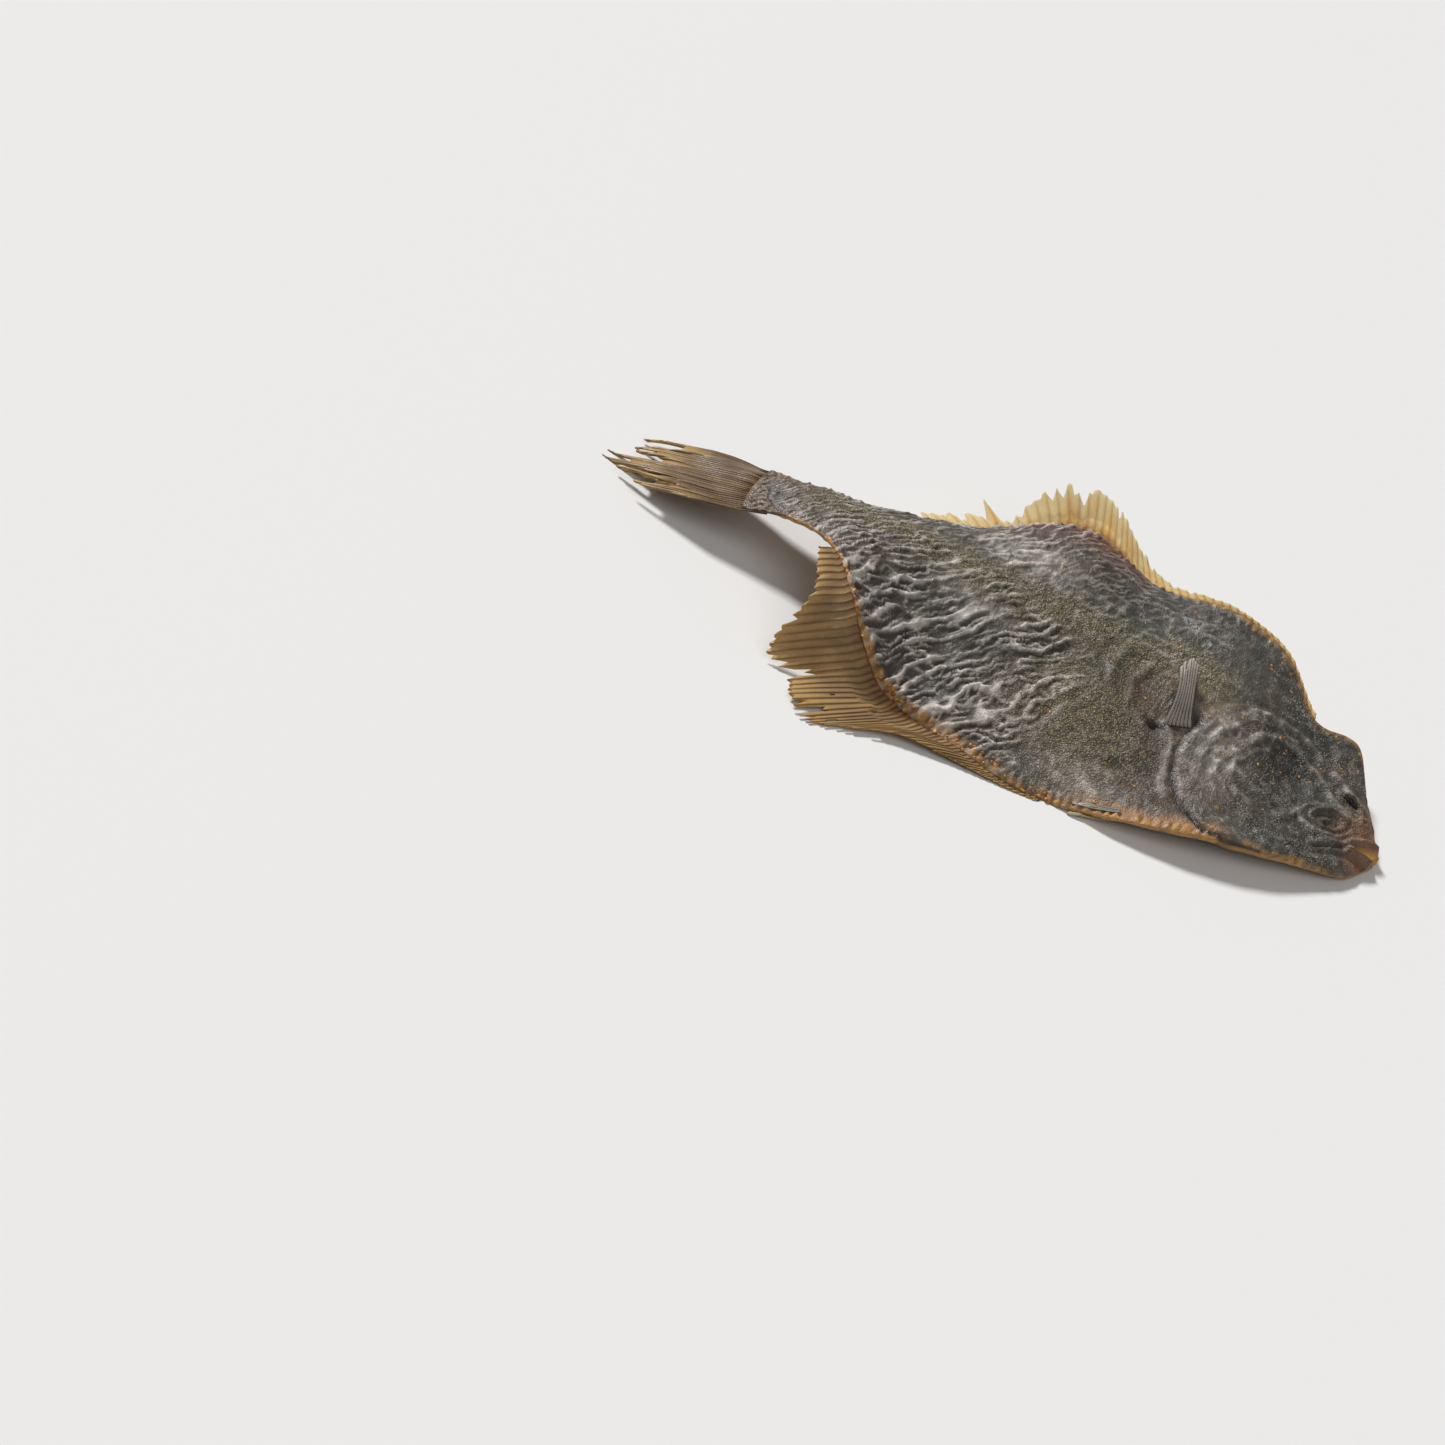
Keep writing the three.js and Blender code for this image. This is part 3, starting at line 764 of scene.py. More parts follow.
def fin_finish(name, root, web, tip, line, glow, lines):
    """Dried fin: web between darker rays, paler to the tip; glow is the share of light let through."""
    m = Finish(name, **{"IOR": 1.45, "Specular IOR Level": 0.45})
    ray, out = m.mask("ray"), m.mask("out")
    cloud = m.cloud(140, 4).between(0.38, 0.65)
    salt = m.cloud(1500, 3).between(0.42, 0.62)
    colour = m.mix(out.between(0.0, 0.2), root, web)
    colour = m.mix(out.between(0.45, 1.0, 0.0, 0.8), colour, tip)
    colour = m.mix(0.5 * m.mask("streak"), colour, tip)
    colour = m.mix(lines * ray * out.between(0.7, 1.0, 1.0, 0.4), colour, line)
    colour = m.mix(0.3 * lines * cloud, colour, line)
    colour = m.mix(0.2 * lines * salt, colour, line)
    normal = m.bump(m.cloud(1300, 3), 0.0002, 0.5, m.bump(ray, 0.0004, 0.8))
    m.set(Base_Color=colour, Roughness=0.36 + 0.2 * cloud, Normal=normal)
    if glow > 0:
        through = m.node("ShaderNodeBsdfTranslucent", {}, {"Color": colour, "Normal": normal})
        mixed = m.node("ShaderNodeMixShader", {}, {0: glow})
        m.tree.links.new(m.shader.outputs[0], mixed.inputs[1])
        m.tree.links.new(through.outputs[0], mixed.inputs[2])
        m.tree.links.new(mixed.outputs[0], m.output.inputs["Surface"])
    return m.material


def eye_finish(colours):
    """Shrunken eye, dark and glossy with a dull film."""
    m = Finish("dried_eye", **{"IOR": 1.5, "Coat Roughness": 0.2})
    cloud = m.cloud(420, 4).between(0.35, 0.65)
    m.set(Base_Color=m.mix(cloud, colours.shadow, colours.eye), Roughness=0.25 + 0.25 * cloud)
    m.set(Normal=m.bump(m.cloud(900, 4), 0.0003, 0.6))
    return m.material


# ---------------------------------------------------------------- settings
def colour_property(name, description, default):
    """A colour setting, as linear red, green and blue."""
    return FloatVectorProperty(
        name=name, description=description, default=default, subtype="COLOR", min=0, max=1, size=3
    )


class PLAICE_PG_shape(PropertyGroup):
    rows: IntProperty(name="Rows", description="Rows of faces from snout to tail", default=420, min=60)
    eyed_columns: IntProperty(
        name="Eyed columns", description="Faces across the eyed side", default=156, min=20
    )
    blind_columns: IntProperty(
        name="Blind columns", description="Faces across the blind side", default=64, min=10
    )
    seed: IntProperty(name="Seed", description="Scatter of the crumbs", default=7)
    knobs: IntProperty(name="Knobs", description="Knobs along the anal fin's root", default=58, min=1)
    relief: FloatProperty(
        name="Relief", description="How strong the wrinkles are", default=1.0, subtype="FACTOR"
    )


class PLAICE_PG_colours(PropertyGroup):
    slate: colour_property("Slate", "Grey of the skin", (0.085, 0.080, 0.068))
    brown: colour_property("Brown", "Brown of the skin", (0.098, 0.069, 0.050))
    # the Shadow colour is the darkest skin tone and the eyes' dark, and also painted shade in the wrinkles'
    # valleys and between the small scales
    shadow: colour_property("Shadow", "Darkest skin", (0.020, 0.015, 0.012))
    maroon: colour_property("Maroon", "Reddish skin by the dorsal fan", (0.110, 0.034, 0.026))
    cheek: colour_property("Cheek", "Blue-black of the cheek and back", (0.042, 0.043, 0.038))
    # the Crest colour is partly pale dry skin and partly painted highlight: on crests, as sheen and as glints
    crest_highlight: colour_property("Crest", "Dry crests of the wrinkles", (0.70, 0.63, 0.57))
    olive: colour_property("Olive", "Olive of the flank", (0.21, 0.16, 0.055))
    # the Grain colour lightens the small scales' tops: partly their yellowish tint, partly painted highlight
    grain: colour_property("Grain", "Tops of the small scales", (0.56, 0.49, 0.33))
    snout: colour_property("Snout", "Brown of the snout and lips", (0.30, 0.135, 0.062))
    crumb: colour_property("Crumb", "Amber crumbs", (0.58, 0.30, 0.07))
    fleck: colour_property("Fleck", "Amber specks", (0.60, 0.30, 0.06))
    rust: colour_property("Rust", "Darker amber", (0.30, 0.10, 0.025))
    amber: colour_property("Amber", "Edges at the roots of the fins", (0.60, 0.31, 0.09))
    flesh: colour_property("Flesh", "Bare pinkish throat", (0.36, 0.19, 0.09))
    tail: colour_property("Tail root", "Skin over the root of the tail", (0.17, 0.118, 0.08))
    blind: colour_property("Blind side", "Pale underside", (0.40, 0.29, 0.19))
    blind_dark: colour_property("Blind side stain", "Darker patches of the underside", (0.27, 0.17, 0.10))
    eye: colour_property("Eye", "Film over the shrunken eyes", (0.15, 0.125, 0.09))
    # the Hollows colour is painted shade, near black, inside the eyes, holes, grooves and the mouth's gape
    deep: colour_property("Hollows", "Inside the eyes and holes", (0.012, 0.009, 0.008))
    mouth: colour_property("Mouth", "Inside of the mouth", (0.85, 0.50, 0.14))
    fin_brown: colour_property("Anal fin root", "Brown of the anal fin's root", (0.36, 0.18, 0.075))
    # the Dorsal web and Dorsal edge colours are raised near white: partly the fan's cream, partly painted
    # glow of light shining through it
    fin_cream: colour_property("Dorsal web", "Cream of the dorsal fan", (1.0, 0.84, 0.54))
    fin_tip: colour_property("Dorsal edge", "Pale edge of the dorsal fan", (1.0, 0.95, 0.75))
    fin_rust: colour_property("Dorsal rays", "Brown of the dorsal rays", (0.50, 0.26, 0.10))
    fin_olive: colour_property("Web", "Olive of the anal fin", (0.43, 0.275, 0.135))
    fin_amber: colour_property("Web edge", "Amber tips of the tail and anal fin", (0.72, 0.47, 0.19))
    fin_umber: colour_property("Tail web", "Brown of the tail", (0.18, 0.10, 0.036))
    fin_line: colour_property("Ray lines", "Dark lines of the tail and anal fin", (0.085, 0.040, 0.018))
    fin_grey: colour_property("Tail fin root", "Grey-brown of the tail's root", (0.15, 0.105, 0.075))
    fin_dark: colour_property("Small fin rays", "Dark rays of the pectoral fins", (0.045, 0.036, 0.030))
    fin_slate: colour_property("Small fins", "Grey of the pectoral fins", (0.62, 0.55, 0.47))


class PLAICE_PG_stage(PropertyGroup):
    floor: colour_property("Floor", "Plain floor", (0.80, 0.786, 0.772))
    key: FloatProperty(
        name="Key", description="Strength of the main light, from behind on the left", default=3.3
    )
    fill: FloatProperty(
        name="Fill", description="Strength of the softer light, from the head's side", default=0.6
    )
    sky: FloatProperty(name="Sky", description="Strength of the even light", default=0.18)
    lens: FloatProperty(name="Lens", description="Focal length in millimetres", default=70.0, unit="CAMERA")


class PLAICE_OT_body(Operator):
    """Models the head and trunk with their relief"""

    bl_idname = "plaice.body"
    bl_label = "Body"

    def execute(self, context):
        settings = context.scene.plaice_shape
        around = settings.eyed_columns + settings.blind_columns
        clear_selection()
        bpy.ops.mesh.primitive_uv_sphere_add(segments=around, ring_count=settings.rows, radius=1)
        body, corners = take_mesh("body_skin")
        pole = np.arctan2(np.hypot(corners[:, 0], corners[:, 1]), corners[:, 2]) / math.pi
        turn = np.arctan2(corners[:, 1], corners[:, 0]) / (2 * math.pi) % 1.0
        column = np.round(turn * around) % around
        at_pole = (pole < 1e-4) | (pole > 1 - 1e-4)
        f_eyed = column / settings.eyed_columns
        f_blind = (column - settings.eyed_columns) / settings.blind_columns
        eyed = column <= settings.eyed_columns
        f = np.where(eyed, f_eyed, 1 - f_blind)
        s = 0.8 * (1 - 2 * f) + 0.2 * np.cos(math.pi * f)
        s = np.where(at_pole, 0, s)
        along = SKIN_END * (0.85 * pole + 0.15 * (1 - np.cos(math.pi * pole)) / 2)
        end = np.sqrt(np.clip((SKIN_END - along) / TAIL_ROUND, 0, 1))
        x = along * LENGTH
        across = s * (half_width(along, s) + outline_nudge(x, s)) * end
        share = np.where(eyed, EYED_SHARE, EYED_SHARE - 1)
        bulge = np.where(at_pole, 0, (1 - s * s) ** FULLNESS) * end
        raised, eyed_masks = eyed_relief(x, across, s)
        sunk, blind_masks = blind_relief(x, across, s)
        ends = rise(0, 1.5, x) * rise(0, 2.0, SKIN_END * LENGTH - x)
        relief = np.where(eyed, raised, -sunk) * ends * settings.relief
        thin = GROOVE_LIMIT * depth(along) * bulge
        relief = np.where(eyed, np.maximum(relief, -thin), relief)
        height = share * depth(along) * bulge + relief
        set_corners(body, laid(off_sheet(along, across, height)))
        for name in eyed_masks:
            set_mask(body, name, np.where(eyed, eyed_masks[name], blind_masks[name]))
        set_mask(body, "blind", np.where(eyed, 0.0, rise(0.0, 0.12, 1 - np.abs(s))))
        finish_mesh(body, skin_finish(context.scene.plaice_colours), replaces=["body"])
        return {"FINISHED"}


# ---------------------------------------------------------------- fins
def fin_sheet(
    name, columns, rows, place, thick, material, replaces, ray, streak=None, holes=None, web=0.35
):
    """A fin as one sheet of rays and web: place gives its points for two spans, 0 to 1.

    thick is the rays' thickness in millimetres, and web the share of it that the web keeps.
    """
    clear_selection()
    bpy.ops.mesh.primitive_grid_add(x_subdivisions=columns, y_subdivisions=rows, size=2)
    fin, corners = take_mesh(name)
    a = (corners[:, 0] + 1) / 2
    b = (corners[:, 1] + 1) / 2
    set_corners(fin, laid(place(a, b)))
    ridge = ray(a, b)
    set_mask(fin, "ray", ridge)
    set_mask(fin, "out", b)
    set_mask(fin, "streak", np.zeros_like(a) if streak is None else streak(a, b))
    if holes is not None:
        cut_holes(fin, a, b, holes)
        ridge = np.empty(len(fin.data.vertices), np.float32)
        fin.data.attributes["ray"].data.foreach_get("value", ridge)
    group = fin.vertex_groups.new(name="thickness")
    for level in range(11):
        near = np.nonzero(np.round(ridge * 10).astype(int) == level)[0]
        group.add([int(i) for i in near], max(level / 10, 0.01), "REPLACE")
    solid = fin.modifiers.new("thickness", "SOLIDIFY")
    solid.thickness = thick * MM
    solid.offset = 0
    solid.vertex_group = group.name
    solid.thickness_vertex_group = web
    bpy.context.view_layer.objects.active = fin
    bpy.ops.object.modifier_apply(modifier=solid.name)
    fin.vertex_groups.clear()
    points = np.empty(len(fin.data.vertices) * 3)
    fin.data.vertices.foreach_get("co", points)
    points[2::3] = np.maximum(points[2::3], 0)
    fin.data.vertices.foreach_set("co", points)
    finish_mesh(fin, material, replaces=replaces)


def cut_holes(fin, a, b, holes):
    """Deletes the faces whose middles the holes function marks."""
    clear_selection()
    fin.select_set(True)
    bpy.context.view_layer.objects.active = fin
    bpy.ops.object.mode_set(mode="EDIT")
    bpy.ops.mesh.select_all(action="DESELECT")
    bpy.ops.mesh.select_mode(type="FACE")
    bpy.ops.object.mode_set(mode="OBJECT")
    count = len(fin.data.polygons)
    quads = np.empty(len(fin.data.loops), np.int32)
    fin.data.loops.foreach_get("vertex_index", quads)
    quads = quads.reshape(count, 4)
    marked = holes(a[quads].mean(1), b[quads].mean(1))
    fin.data.polygons.foreach_set("select", marked)
    bpy.ops.object.mode_set(mode="EDIT")
    bpy.ops.mesh.delete(type="FACE")
    bpy.ops.object.mode_set(mode="OBJECT")


# millimetres that the long fins stand out from the body's edge, and that their roots reach back in
FIN_GAP = 0.3
FIN_ROOT = 1.6
# The long fins: the side they stand on, their ends along the fish, their number of rays, and three
# curves: how far they reach in millimetres, and how far they lean towards the tail and how far they
# stand up, both in degrees.
BACK_FIN = {
    "side": 1, "from": 0.13, "to": 0.745, "rays": 64,
    "reach": profile((0.13, 1.5), (0.3, 2), (0.34, 4), (0.38, 10), (0.42, 13), (0.46, 14.5), (0.49, 13),
                     (0.525, 8), (0.54, 5), (0.56, 8.5), (0.6, 9.5), (0.64, 7), (0.67, 4), (0.745, 2)),
    "sweep": profile((0.13, 20), (0.33, 40), (0.4, 28), (0.46, 22), (0.5, 35), (0.56, 50), (0.745, 60)),
    "rise": profile((0.13, 10), (0.33, 25), (0.42, 55), (0.48, 60), (0.55, 52), (0.65, 48), (0.745, 30)),
}
BELLY_FIN = {
    "side": -1, "from": 0.37, "to": 0.7, "rays": 54,
    "reach": profile((0.37, 3), (0.41, 6), (0.45, 12), (0.49, 20), (0.52, 30), (0.55, 36), (0.57, 34),
                     (0.6, 27), (0.62, 29), (0.635, 24), (0.655, 14), (0.68, 9), (0.7, 6)),
    "sweep": profile((0.37, 55), (0.43, 72), (0.47, 66), (0.52, 47), (0.56, 42), (0.6, 54), (0.7, 45)),
    "rise": profile((0.37, 30), (0.45, 20), (0.5, 27), (0.55, 36), (0.575, 36), (0.61, 0), (0.63, -14),
                    (0.66, -5), (0.7, 5)),
}


def ragged(a, rays, seed, deep, torn, uneven):
    """How far each part of a fin's edge reaches, 0 to 1: rays stand past the web between them."""
    ray = a * rays
    nearest = np.round(ray)
    between = np.abs(ray - nearest) * 2
    each = noise(nearest * 0.73, 0.4, seed)
    between_rays = (1 - np.abs(2 * (ray % 1) - 1)) ** 0.6
    slit = rise(0.25, 0.4, noise(np.floor(ray) * 0.61, 7.3, seed + 3)) * between_rays
    broken = rise(torn, torn + 0.1, noise(nearest / 2.3, 0, seed + 2))
    return 1 - deep * between**1.5 - uneven * (0.5 + each) - 2 * uneven * slit - 0.26 * broken


def edge_fin(name, fin, seed, material, replaces, torn, uneven, pleat, holes=None, spike=None):
    """One long fin, rooted just inside the body's edge; spike is one ray's place and extra length."""
    rays = fin["rays"]

    def place(a, b):
        along = fin["from"] + a * (fin["to"] - fin["from"])
        width = half_width(along, fin["side"])
        edge = fin["side"] * width
        sweep = np.radians(fin["sweep"](along))
        reach = fin["reach"](along) * ragged(a, rays, seed, 0.05, torn, uneven)
        if spike is not None:
            reach = reach + spike[1] * hump(along - spike[0], 0.0035)
        up = fin["side"] * slope_at(along, edge) + np.radians(fin["rise"](along)) * np.clip(b * 3, 0, 1)
        root = FIN_ROOT * np.clip(1 - b * 6, 0, 1)
        out = FIN_GAP - root + reach * b * np.cos(sweep)
        base = sheet(along, edge)
        wave = pleat * b * np.sin(a * rays * 2 * math.pi) + 0.9 * b * noise(a * 7, b * 1.5, seed + 5)
        return base + np.stack(
            [
                -reach * b * np.sin(sweep),
                fin["side"] * (out * np.cos(up) - wave * np.sin(up)),
                out * np.sin(up) + wave * np.cos(up),
            ],
            -1,
        )

    def ray(a, b):
        away = np.abs(a * rays - np.round(a * rays))
        return np.clip(hump(away, 0.16 - 0.05 * b), 0, 1)

    def streak(a, b):
        return rise(-0.1, 0.5, noise(a * rays * 0.6, b * 1.2, seed + 9))

    fin_sheet(name, rays * 6, 18, place, 0.6, material, replaces, ray, streak, holes, 0.5)


class PLAICE_OT_edge_fins(Operator):
    """Models the long fins along the back and belly"""

    bl_idname = "plaice.edge_fins"
    bl_label = "Long fins"

    def execute(self, context):
        colours = context.scene.plaice_colours
        # the dorsal fan's near-white colours are partly painted glow of light shining through it
        back = fin_finish(
            "dorsal_fin_web", colours.fin_amber, colours.fin_cream, colours.fin_tip, colours.fin_rust,
            0.85, 0.3,
        )
        belly = fin_finish(
            "anal_fin_web", colours.fin_brown, colours.fin_olive, colours.fin_amber, colours.fin_line,
            0.35, 0.5,
        )

        def tears(a, b):
            """Marks two small holes in the anal fin's web."""
            slit = (np.abs(a - 0.52) < 0.004) & (b > 0.72) & (b < 0.86)
            return slit | ((np.abs(a - 0.62) < 0.003) & (b > 0.55) & (b < 0.62))

        edge_fin("dorsal_fin_sheet", BACK_FIN, 211, back, ["dorsal_fin"], 0.3, 0.13, 0.22, spike=(0.553, 7.0))
        edge_fin("anal_fin_sheet", BELLY_FIN, 223, belly, ["anal_fin"], 0.5, 0.05, 0.14, tears)
        return {"FINISHED"}


tail_width = profile((0.78, 12), (0.82, 14), (0.88, 16.5), (0.94, 17), (1, 14))
tail_ends = profile(
    (-1, 0.93), (-0.6, 0.97), (-0.25, 1.0), (0.1, 0.985), (0.25, 0.955), (0.45, 0.99), (0.62, 0.96),
    (0.9, 0.97), (1, 0.95),
)


class PLAICE_OT_tail_fin(Operator):
    """Models the folded, frayed tail"""

    bl_idname = "plaice.tail_fin"
    bl_label = "Tail fin"

    def execute(self, context):
        colours = context.scene.plaice_colours
        finish = fin_finish(
            "tail_fin_web", colours.fin_grey, colours.fin_umber, colours.fin_amber, colours.fin_line,
            0.15, 0.8,
        )
        rays = 27
        root = 0.79

        def place(a, b):
            s = 2 * a - 1
            clump = np.round(s * 3.4) / 3.4
            far = rise(0.62, 1.0, b)
            pulled = s + (clump - s) * 0.75 * far
            ends = tail_ends(s) - 0.035 * rise(0.3, 1.0, np.abs(s - clump) * 6.8)
            ends = ends - 0.012 * rise(0.1, 0.6, noise(a * rays, 0, 311))
            along = root + b * (ends - root)
            across = pulled * tail_width(along)
            wave = 0.3 * np.sin(a * rays * 2 * math.pi) * rise(0, 0.3, b)
            wave = wave + 2.2 * far * noise(a * 5, b, 313) + 0.8 * noise(a * 3, b * 2, 317)
            wave = wave * rise(0.05, 0.3, b) - 0.25
            return off_sheet(along, across, wave)

        def ray(a, b):
            away = np.abs(a * rays - np.round(a * rays))
            split = np.abs(a * rays * 2 - np.round(a * rays * 2)) / 2
            return np.clip(hump(away, 0.2) + rise(0.3, 0.6, b) * hump(split, 0.1), 0, 1)

        def streak(a, b):
            return rise(-0.2, 0.5, noise(a * rays, b * 2, 331))

        fin_sheet("tail_fin_sheet", rays * 7, 60, place, 0.9, finish, ["tail_fin"], ray, streak)
        return {"FINISHED"}


class PLAICE_OT_paired_fins(Operator):
    """Models the pectoral and pelvic fins on both sides"""

    bl_idname = "plaice.paired_fins"
    bl_label = "Paired fins"

    def execute(self, context):
        colours = context.scene.plaice_colours
        finish = fin_finish(
            "pectoral_fin_web", colours.fin_slate, colours.fin_slate, colours.fin_slate, colours.fin_dark,
            0.0, 0.9,
        )
        # the blind pelvic fin uses the dorsal fan's near-white colours, partly painted glow
        light = fin_finish(
            "pelvic_fin_web", colours.fin_olive, colours.fin_cream, colours.fin_tip, colours.fin_rust,
            0.3, 0.5,
        )

        def small_fin(name, node, corners, lifts, rays, face, seed, material, pleat):
            """One fin from its two root corners and two tips; lifts are its heights over the skin."""
            (x0, t0), (x1, t1), (x2, t2), (x3, t3) = corners

            def place(a, b):
                bow = 1.3 * np.sin(math.pi * b) * (1 - a) - 0.5 * np.sin(math.pi * b) * a
                short = rise(-0.2, 0.5, noise(np.round(a * rays) * 0.8, 0, seed))
                long = 1 - 0.16 * short - 0.1 * (2 * a - 1) ** 2
                b = b * long
                x = (x0 + (x1 - x0) * a) * (1 - b) + (x2 + (x3 - x2) * a) * b - bow
                t = (t0 + (t1 - t0) * a) * (1 - b) + (t2 + (t3 - t2) * a) * b
                along = x / LENGTH
                away = lifts[0] + (lifts[1] - lifts[0]) * np.sin(b * math.pi / 2)
                fold = pleat * np.sin(a * rays * 2 * math.pi) * (0.5 + 0.5 * b)
                fold = fold + 0.5 * noise(a * 2, b * 3, seed + 1) * b
                return off_sheet(along, t, skin_height(along, t, face) + face * (away + fold))

            def ray(a, b):
                return np.clip(hump(np.abs(a * rays - np.round(a * rays)), 0.24), 0, 1)

            fin_sheet(name, rays * 7, 20, place, 0.8, material, [node], ray)

        small_fin(
            "pectoral_fin_sheet", "pectoral_fin", [(77.5, -7), (69.4, -2), (80.8, 16), (76.2, 19.8)],
            (0.2, 3.8), 7, 1, 401, finish, 0.6,
        )
        small_fin(
            "blind_pectoral_fin_sheet", "blind_side_pectoral_fin", [(78, -5), (70, 1), (83, 12), (78, 14)],
            (0.2, 1.6), 8, -1, 409, finish, 0.3,
        )
        small_fin(
            "pelvic_fin_sheet", "pelvic_fin", [(78, -46.5), (78, -45), (93, -50.5), (92.5, -50)],
            (0, 0.3), 3, 1, 419, finish, 0.2,
        )
        small_fin(
            "blind_pelvic_fin_sheet", "blind_side_pelvic_fin",
            [(74, -43), (72, -39), (93, -54.5), (89, -50)], (0.1, 0.6), 6, -1, 421, light, 0.25,
        )
        return {"FINISHED"}


# groups of scattered crumbs: the middle, the spread both ways, and how many
CRUMB_GROUPS = [
    ((40, 6), (14, 10), 26), ((30, 18), (9, 4), 12), ((62, 4), (8, 14), 9), ((100, 12), (24, 9), 16),
    ((84, 20), (14, 10), 8), ((112, -20), (20, 18), 9), ((64, 42), (18, 4), 10),
]


class PLAICE_OT_crumbs(Operator):
    """Scatters dried amber crumbs: a row at the anal fin's root, and some over the head and back"""

    bl_idname = "plaice.crumbs"
    bl_label = "Crumbs"

    def execute(self, context):
        settings = context.scene.plaice_shape
        chance = np.random.default_rng(settings.seed)
        rows = []
        for i in range(settings.knobs):
            along = 0.365 + 0.325 * (i + chance.uniform(-0.4, 0.4)) / settings.knobs
            across = -half_width(along, -1) * chance.uniform(0.935, 0.99)
            rows.append((along, across, chance.uniform(0.25, 0.85)))
        for centre, spread, count in CRUMB_GROUPS:
            for _ in range(count):
                x, t = chance.normal(centre, spread)
                x = float(np.clip(x, 14, 190))
                limit = half_width(x / LENGTH, t) * 0.97
                rows.append((x / LENGTH, float(np.clip(t, -limit, limit)), chance.uniform(0.22, 0.6)))
        clear_selection()
        balls = []
        for _ in rows:
            bpy.ops.mesh.primitive_ico_sphere_add(subdivisions=2, radius=1)
            balls.append(bpy.context.object)
        for ball in balls:
            ball.select_set(True)
        bpy.ops.object.join()
        crumbs, corners = take_mesh("amber_crumbs")
        corners = corners.reshape(len(rows), -1, 3)
        placed = []
        for (along, across, size), ball in zip(rows, corners):
            lumps = 1 + 0.35 * noise(ball[:, 0] * 1.7 + along * 900, ball[:, 1] * 1.7 + ball[:, 2], 601)
            stretch = chance.uniform((0.7, 0.7, 0.45), (1.5, 1.0, 0.8))
            body = ball * lumps[:, None] * stretch * size
            turn = chance.uniform(0, math.pi)
            x = along * LENGTH + body[:, 0] * math.cos(turn) - body[:, 1] * math.sin(turn)
            t = across + body[:, 0] * math.sin(turn) + body[:, 1] * math.cos(turn)
            ground = surface_height(np.array([along * LENGTH]), np.array([across]))[0]
            placed.append(off_sheet(x / LENGTH, t, ground - 0.15 * size + body[:, 2]))
        set_corners(crumbs, laid(np.concatenate(placed)))
        colours = context.scene.plaice_colours
        finish = Finish("dried_amber", **{"IOR": 1.5, "Specular IOR Level": 0.5})
        shade = finish.cloud(260, 3).between(0.4, 0.6)
        finish.set(
            Base_Color=finish.mix(shade, colours.crumb, colours.rust),
            Roughness=0.3,
            Normal=finish.bump(finish.cloud(1500, 3), 0.0002, 0.6),
        )
        finish_mesh(crumbs, finish.material)
        return {"FINISHED"}


class PLAICE_OT_eyes(Operator):
    """Models the two shrunken eyes"""

    bl_idname = "plaice.eyes"
    bl_label = "Eyes"

    def execute(self, context):
        finish = eye_finish(context.scene.plaice_colours)

        def eye(name, node, centre, half_long, half_wide, deep, sunk, turn):
            """One eye: an oval ball, sunk below the plain skin."""
            clear_selection()
            bpy.ops.mesh.primitive_uv_sphere_add(segments=48, ring_count=32, radius=1)
            ball, corners = take_mesh(name)
            c, s = math.cos(math.radians(turn)), math.sin(math.radians(turn))
            x = centre[0] + corners[:, 0] * half_long * c - corners[:, 1] * half_wide * s
            t = centre[1] + corners[:, 0] * half_long * s + corners[:, 1] * half_wide * c
            middle = skin_height(centre[0] / LENGTH, centre[1], 1) - sunk
            ripple = 0.25 * noise(x / 2.2, t / 1.6, 503) + 0.12 * noise(x, t, 509)
            set_corners(ball, laid(off_sheet(x / LENGTH, t, middle + corners[:, 2] * deep + ripple)))
            finish_mesh(ball, finish, replaces=[node])

        eye("lower_eye_ball", "lower_eye", LOWER_EYE, 5.5, 2.9, 1.0, 0.75, EYE_TURN)
        eye("upper_eye_ball", "upper_eye", UPPER_EYE, 2.8, 1.1, 0.9, 1.3, 15)
        return {"FINISHED"}


# the floor's width in metres, and where the lights come from
FLOOR_SIZE = 6
KEY_FROM = (-0.75, 0.5, 0.8)
FILL_FROM = (0.35, -0.4, 0.85)
# the camera's place in metres, its turns in degrees and its sensor in millimetres; the place and the
# turns came out of the same separate program as the fish's curves
CAMERA_PLACE = (0.0106, -0.7221, 0.4805)
CAMERA_TURNS = (50.25, -19.88, 21.69)
SENSOR_WIDTH = 36


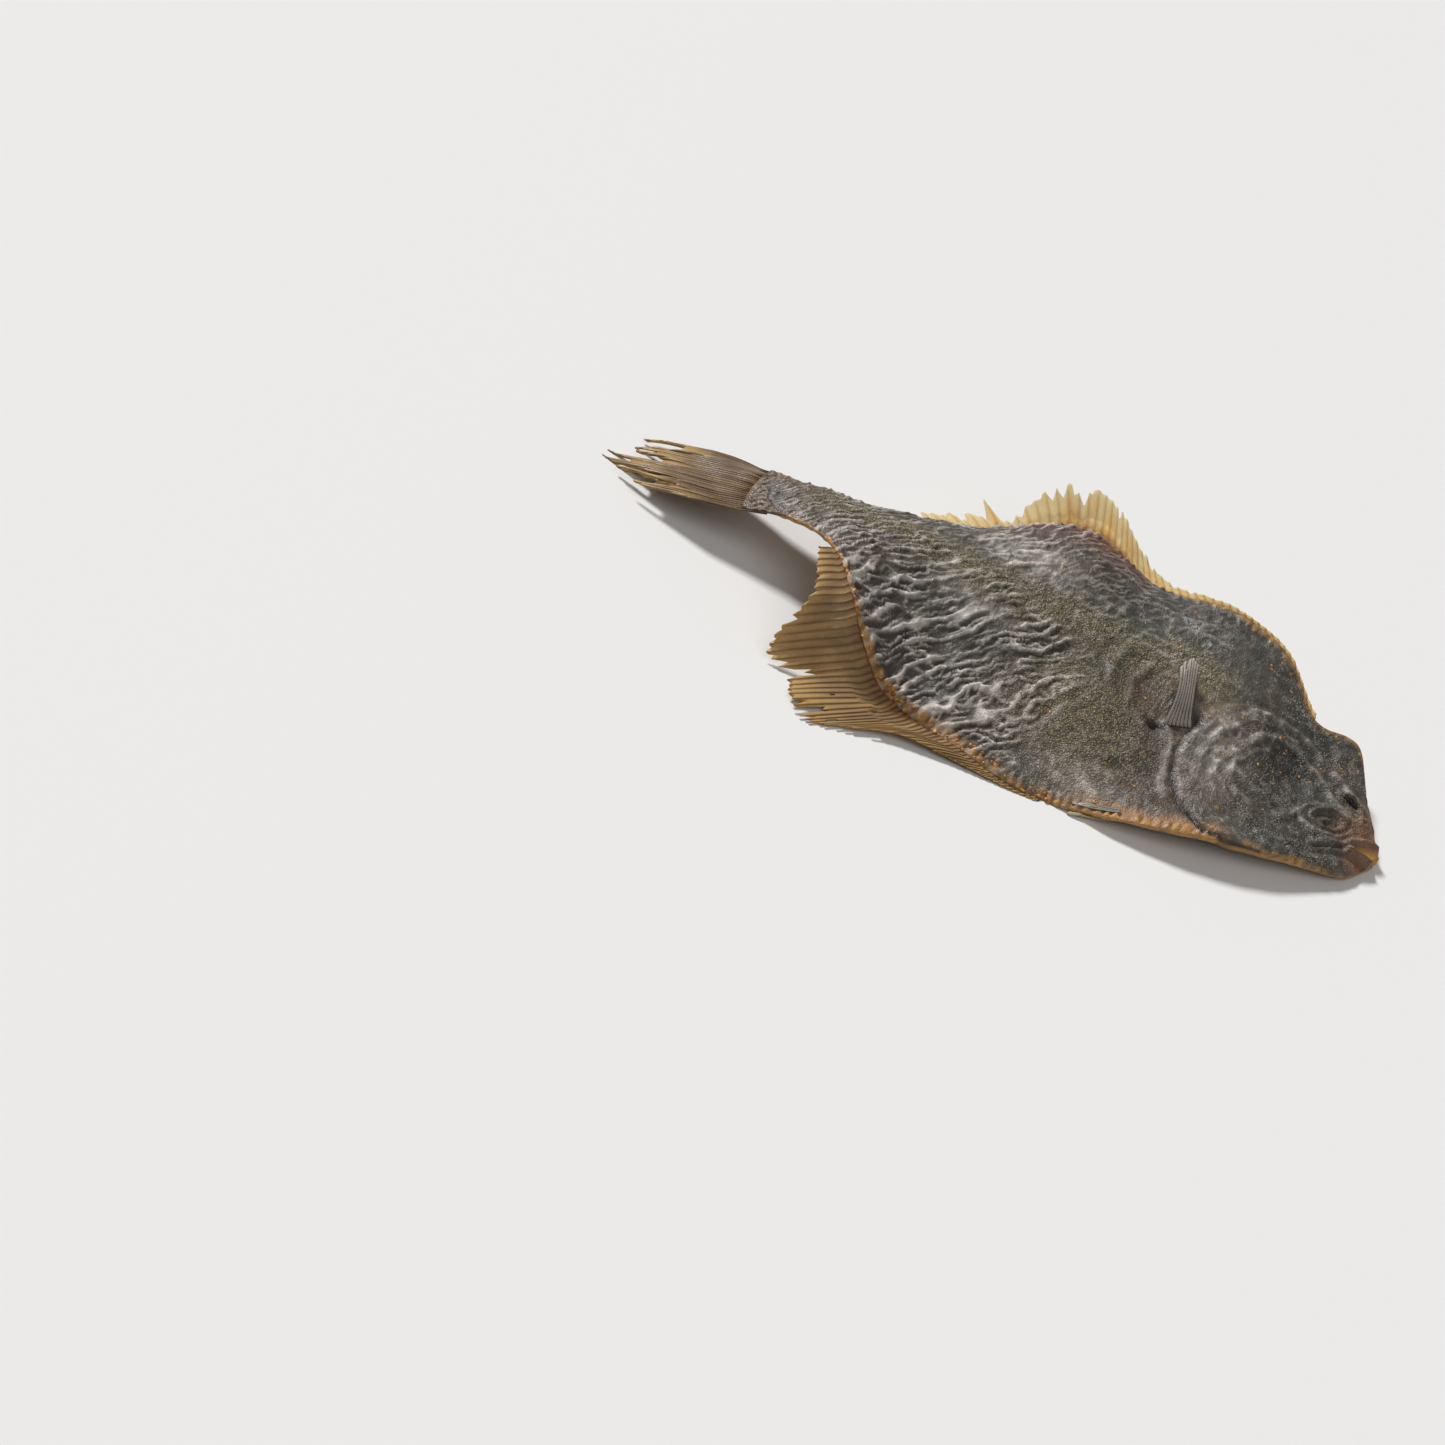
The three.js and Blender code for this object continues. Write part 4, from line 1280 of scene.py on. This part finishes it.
class PLAICE_OT_stage(Operator):
    """Sets the plain floor, the soft lights and the camera"""

    bl_idname = "plaice.stage"
    bl_label = "Stage"

    def execute(self, context):
        scene = context.scene
        clear_selection()
        bpy.ops.mesh.primitive_plane_add(size=FLOOR_SIZE)
        floor, _ = take_mesh("floor")
        ground = Finish("plain_floor", Roughness=0.9)
        ground.set(Base_Color=tuple(scene.plaice_stage.floor))
        floor.data.materials.append(ground.material)

        def lamp(name, way, strength, softness):
            """A far light from the given way; softness is its width in degrees."""
            light = bpy.data.lights.new(name, "SUN")
            light.energy = strength
            light.angle = math.radians(softness)
            holder = bpy.data.objects.new(name, light)
            scene.collection.objects.link(holder)
            holder.rotation_euler = Vector(way).to_track_quat("Z", "Y").to_euler()

        stage = scene.plaice_stage
        lamp("key", KEY_FROM, stage.key, 12)
        lamp("fill", FILL_FROM, stage.fill, 50)
        world = bpy.data.worlds.new("studio")
        world.use_nodes = True
        world.node_tree.nodes["Background"].inputs["Color"].default_value = (1, 1, 1, 1)
        world.node_tree.nodes["Background"].inputs["Strength"].default_value = stage.sky
        scene.world = world

        lens = bpy.data.cameras.new("camera")
        lens.lens = stage.lens
        lens.sensor_width = SENSOR_WIDTH
        lens.clip_start = 0.01
        view = bpy.data.objects.new("camera", lens)
        scene.collection.objects.link(view)
        view.location = CAMERA_PLACE
        view.rotation_euler = [math.radians(turn) for turn in CAMERA_TURNS]
        scene.camera = view
        scene.view_settings.view_transform = "Standard"
        return {"FINISHED"}


OPERATORS = (
    PLAICE_OT_body, PLAICE_OT_tail_fin, PLAICE_OT_edge_fins, PLAICE_OT_paired_fins, PLAICE_OT_eyes,
    PLAICE_OT_crumbs, PLAICE_OT_stage,
)


class PLAICE_PT_panel(Panel):
    """Lists the pieces and their settings"""

    bl_idname = "PLAICE_PT_panel"
    bl_label = "Dried plaice"
    bl_space_type = "VIEW_3D"
    bl_region_type = "UI"
    bl_category = "Plaice"

    def draw(self, context):
        layout = self.layout
        for operator in OPERATORS:
            layout.operator(operator.bl_idname)
        for group in (context.scene.plaice_shape, context.scene.plaice_colours, context.scene.plaice_stage):
            box = layout.box()
            for name in group.__annotations__:
                box.prop(group, name)


GROUPS = {
    "plaice_shape": PLAICE_PG_shape,
    "plaice_colours": PLAICE_PG_colours,
    "plaice_stage": PLAICE_PG_stage,
}


def register():
    """Adds the operators, the panel and the settings."""
    for kind in (*GROUPS.values(), *OPERATORS, PLAICE_PT_panel):
        bpy.utils.register_class(kind)
    for name, group in GROUPS.items():
        setattr(bpy.types.Scene, name, PointerProperty(type=group))


def unregister():
    """Takes them away again."""
    for name in GROUPS:
        delattr(bpy.types.Scene, name)
    for kind in (PLAICE_PT_panel, *reversed(OPERATORS), *GROUPS.values()):
        bpy.utils.unregister_class(kind)


def main():
    """Builds the fish and its stage."""
    register()
    bpy.ops.plaice.body()
    bpy.ops.plaice.tail_fin()
    bpy.ops.plaice.edge_fins()
    bpy.ops.plaice.paired_fins()
    bpy.ops.plaice.eyes()
    bpy.ops.plaice.crumbs()
    bpy.ops.plaice.stage()
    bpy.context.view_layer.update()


if __name__ == "__main__":
    main()
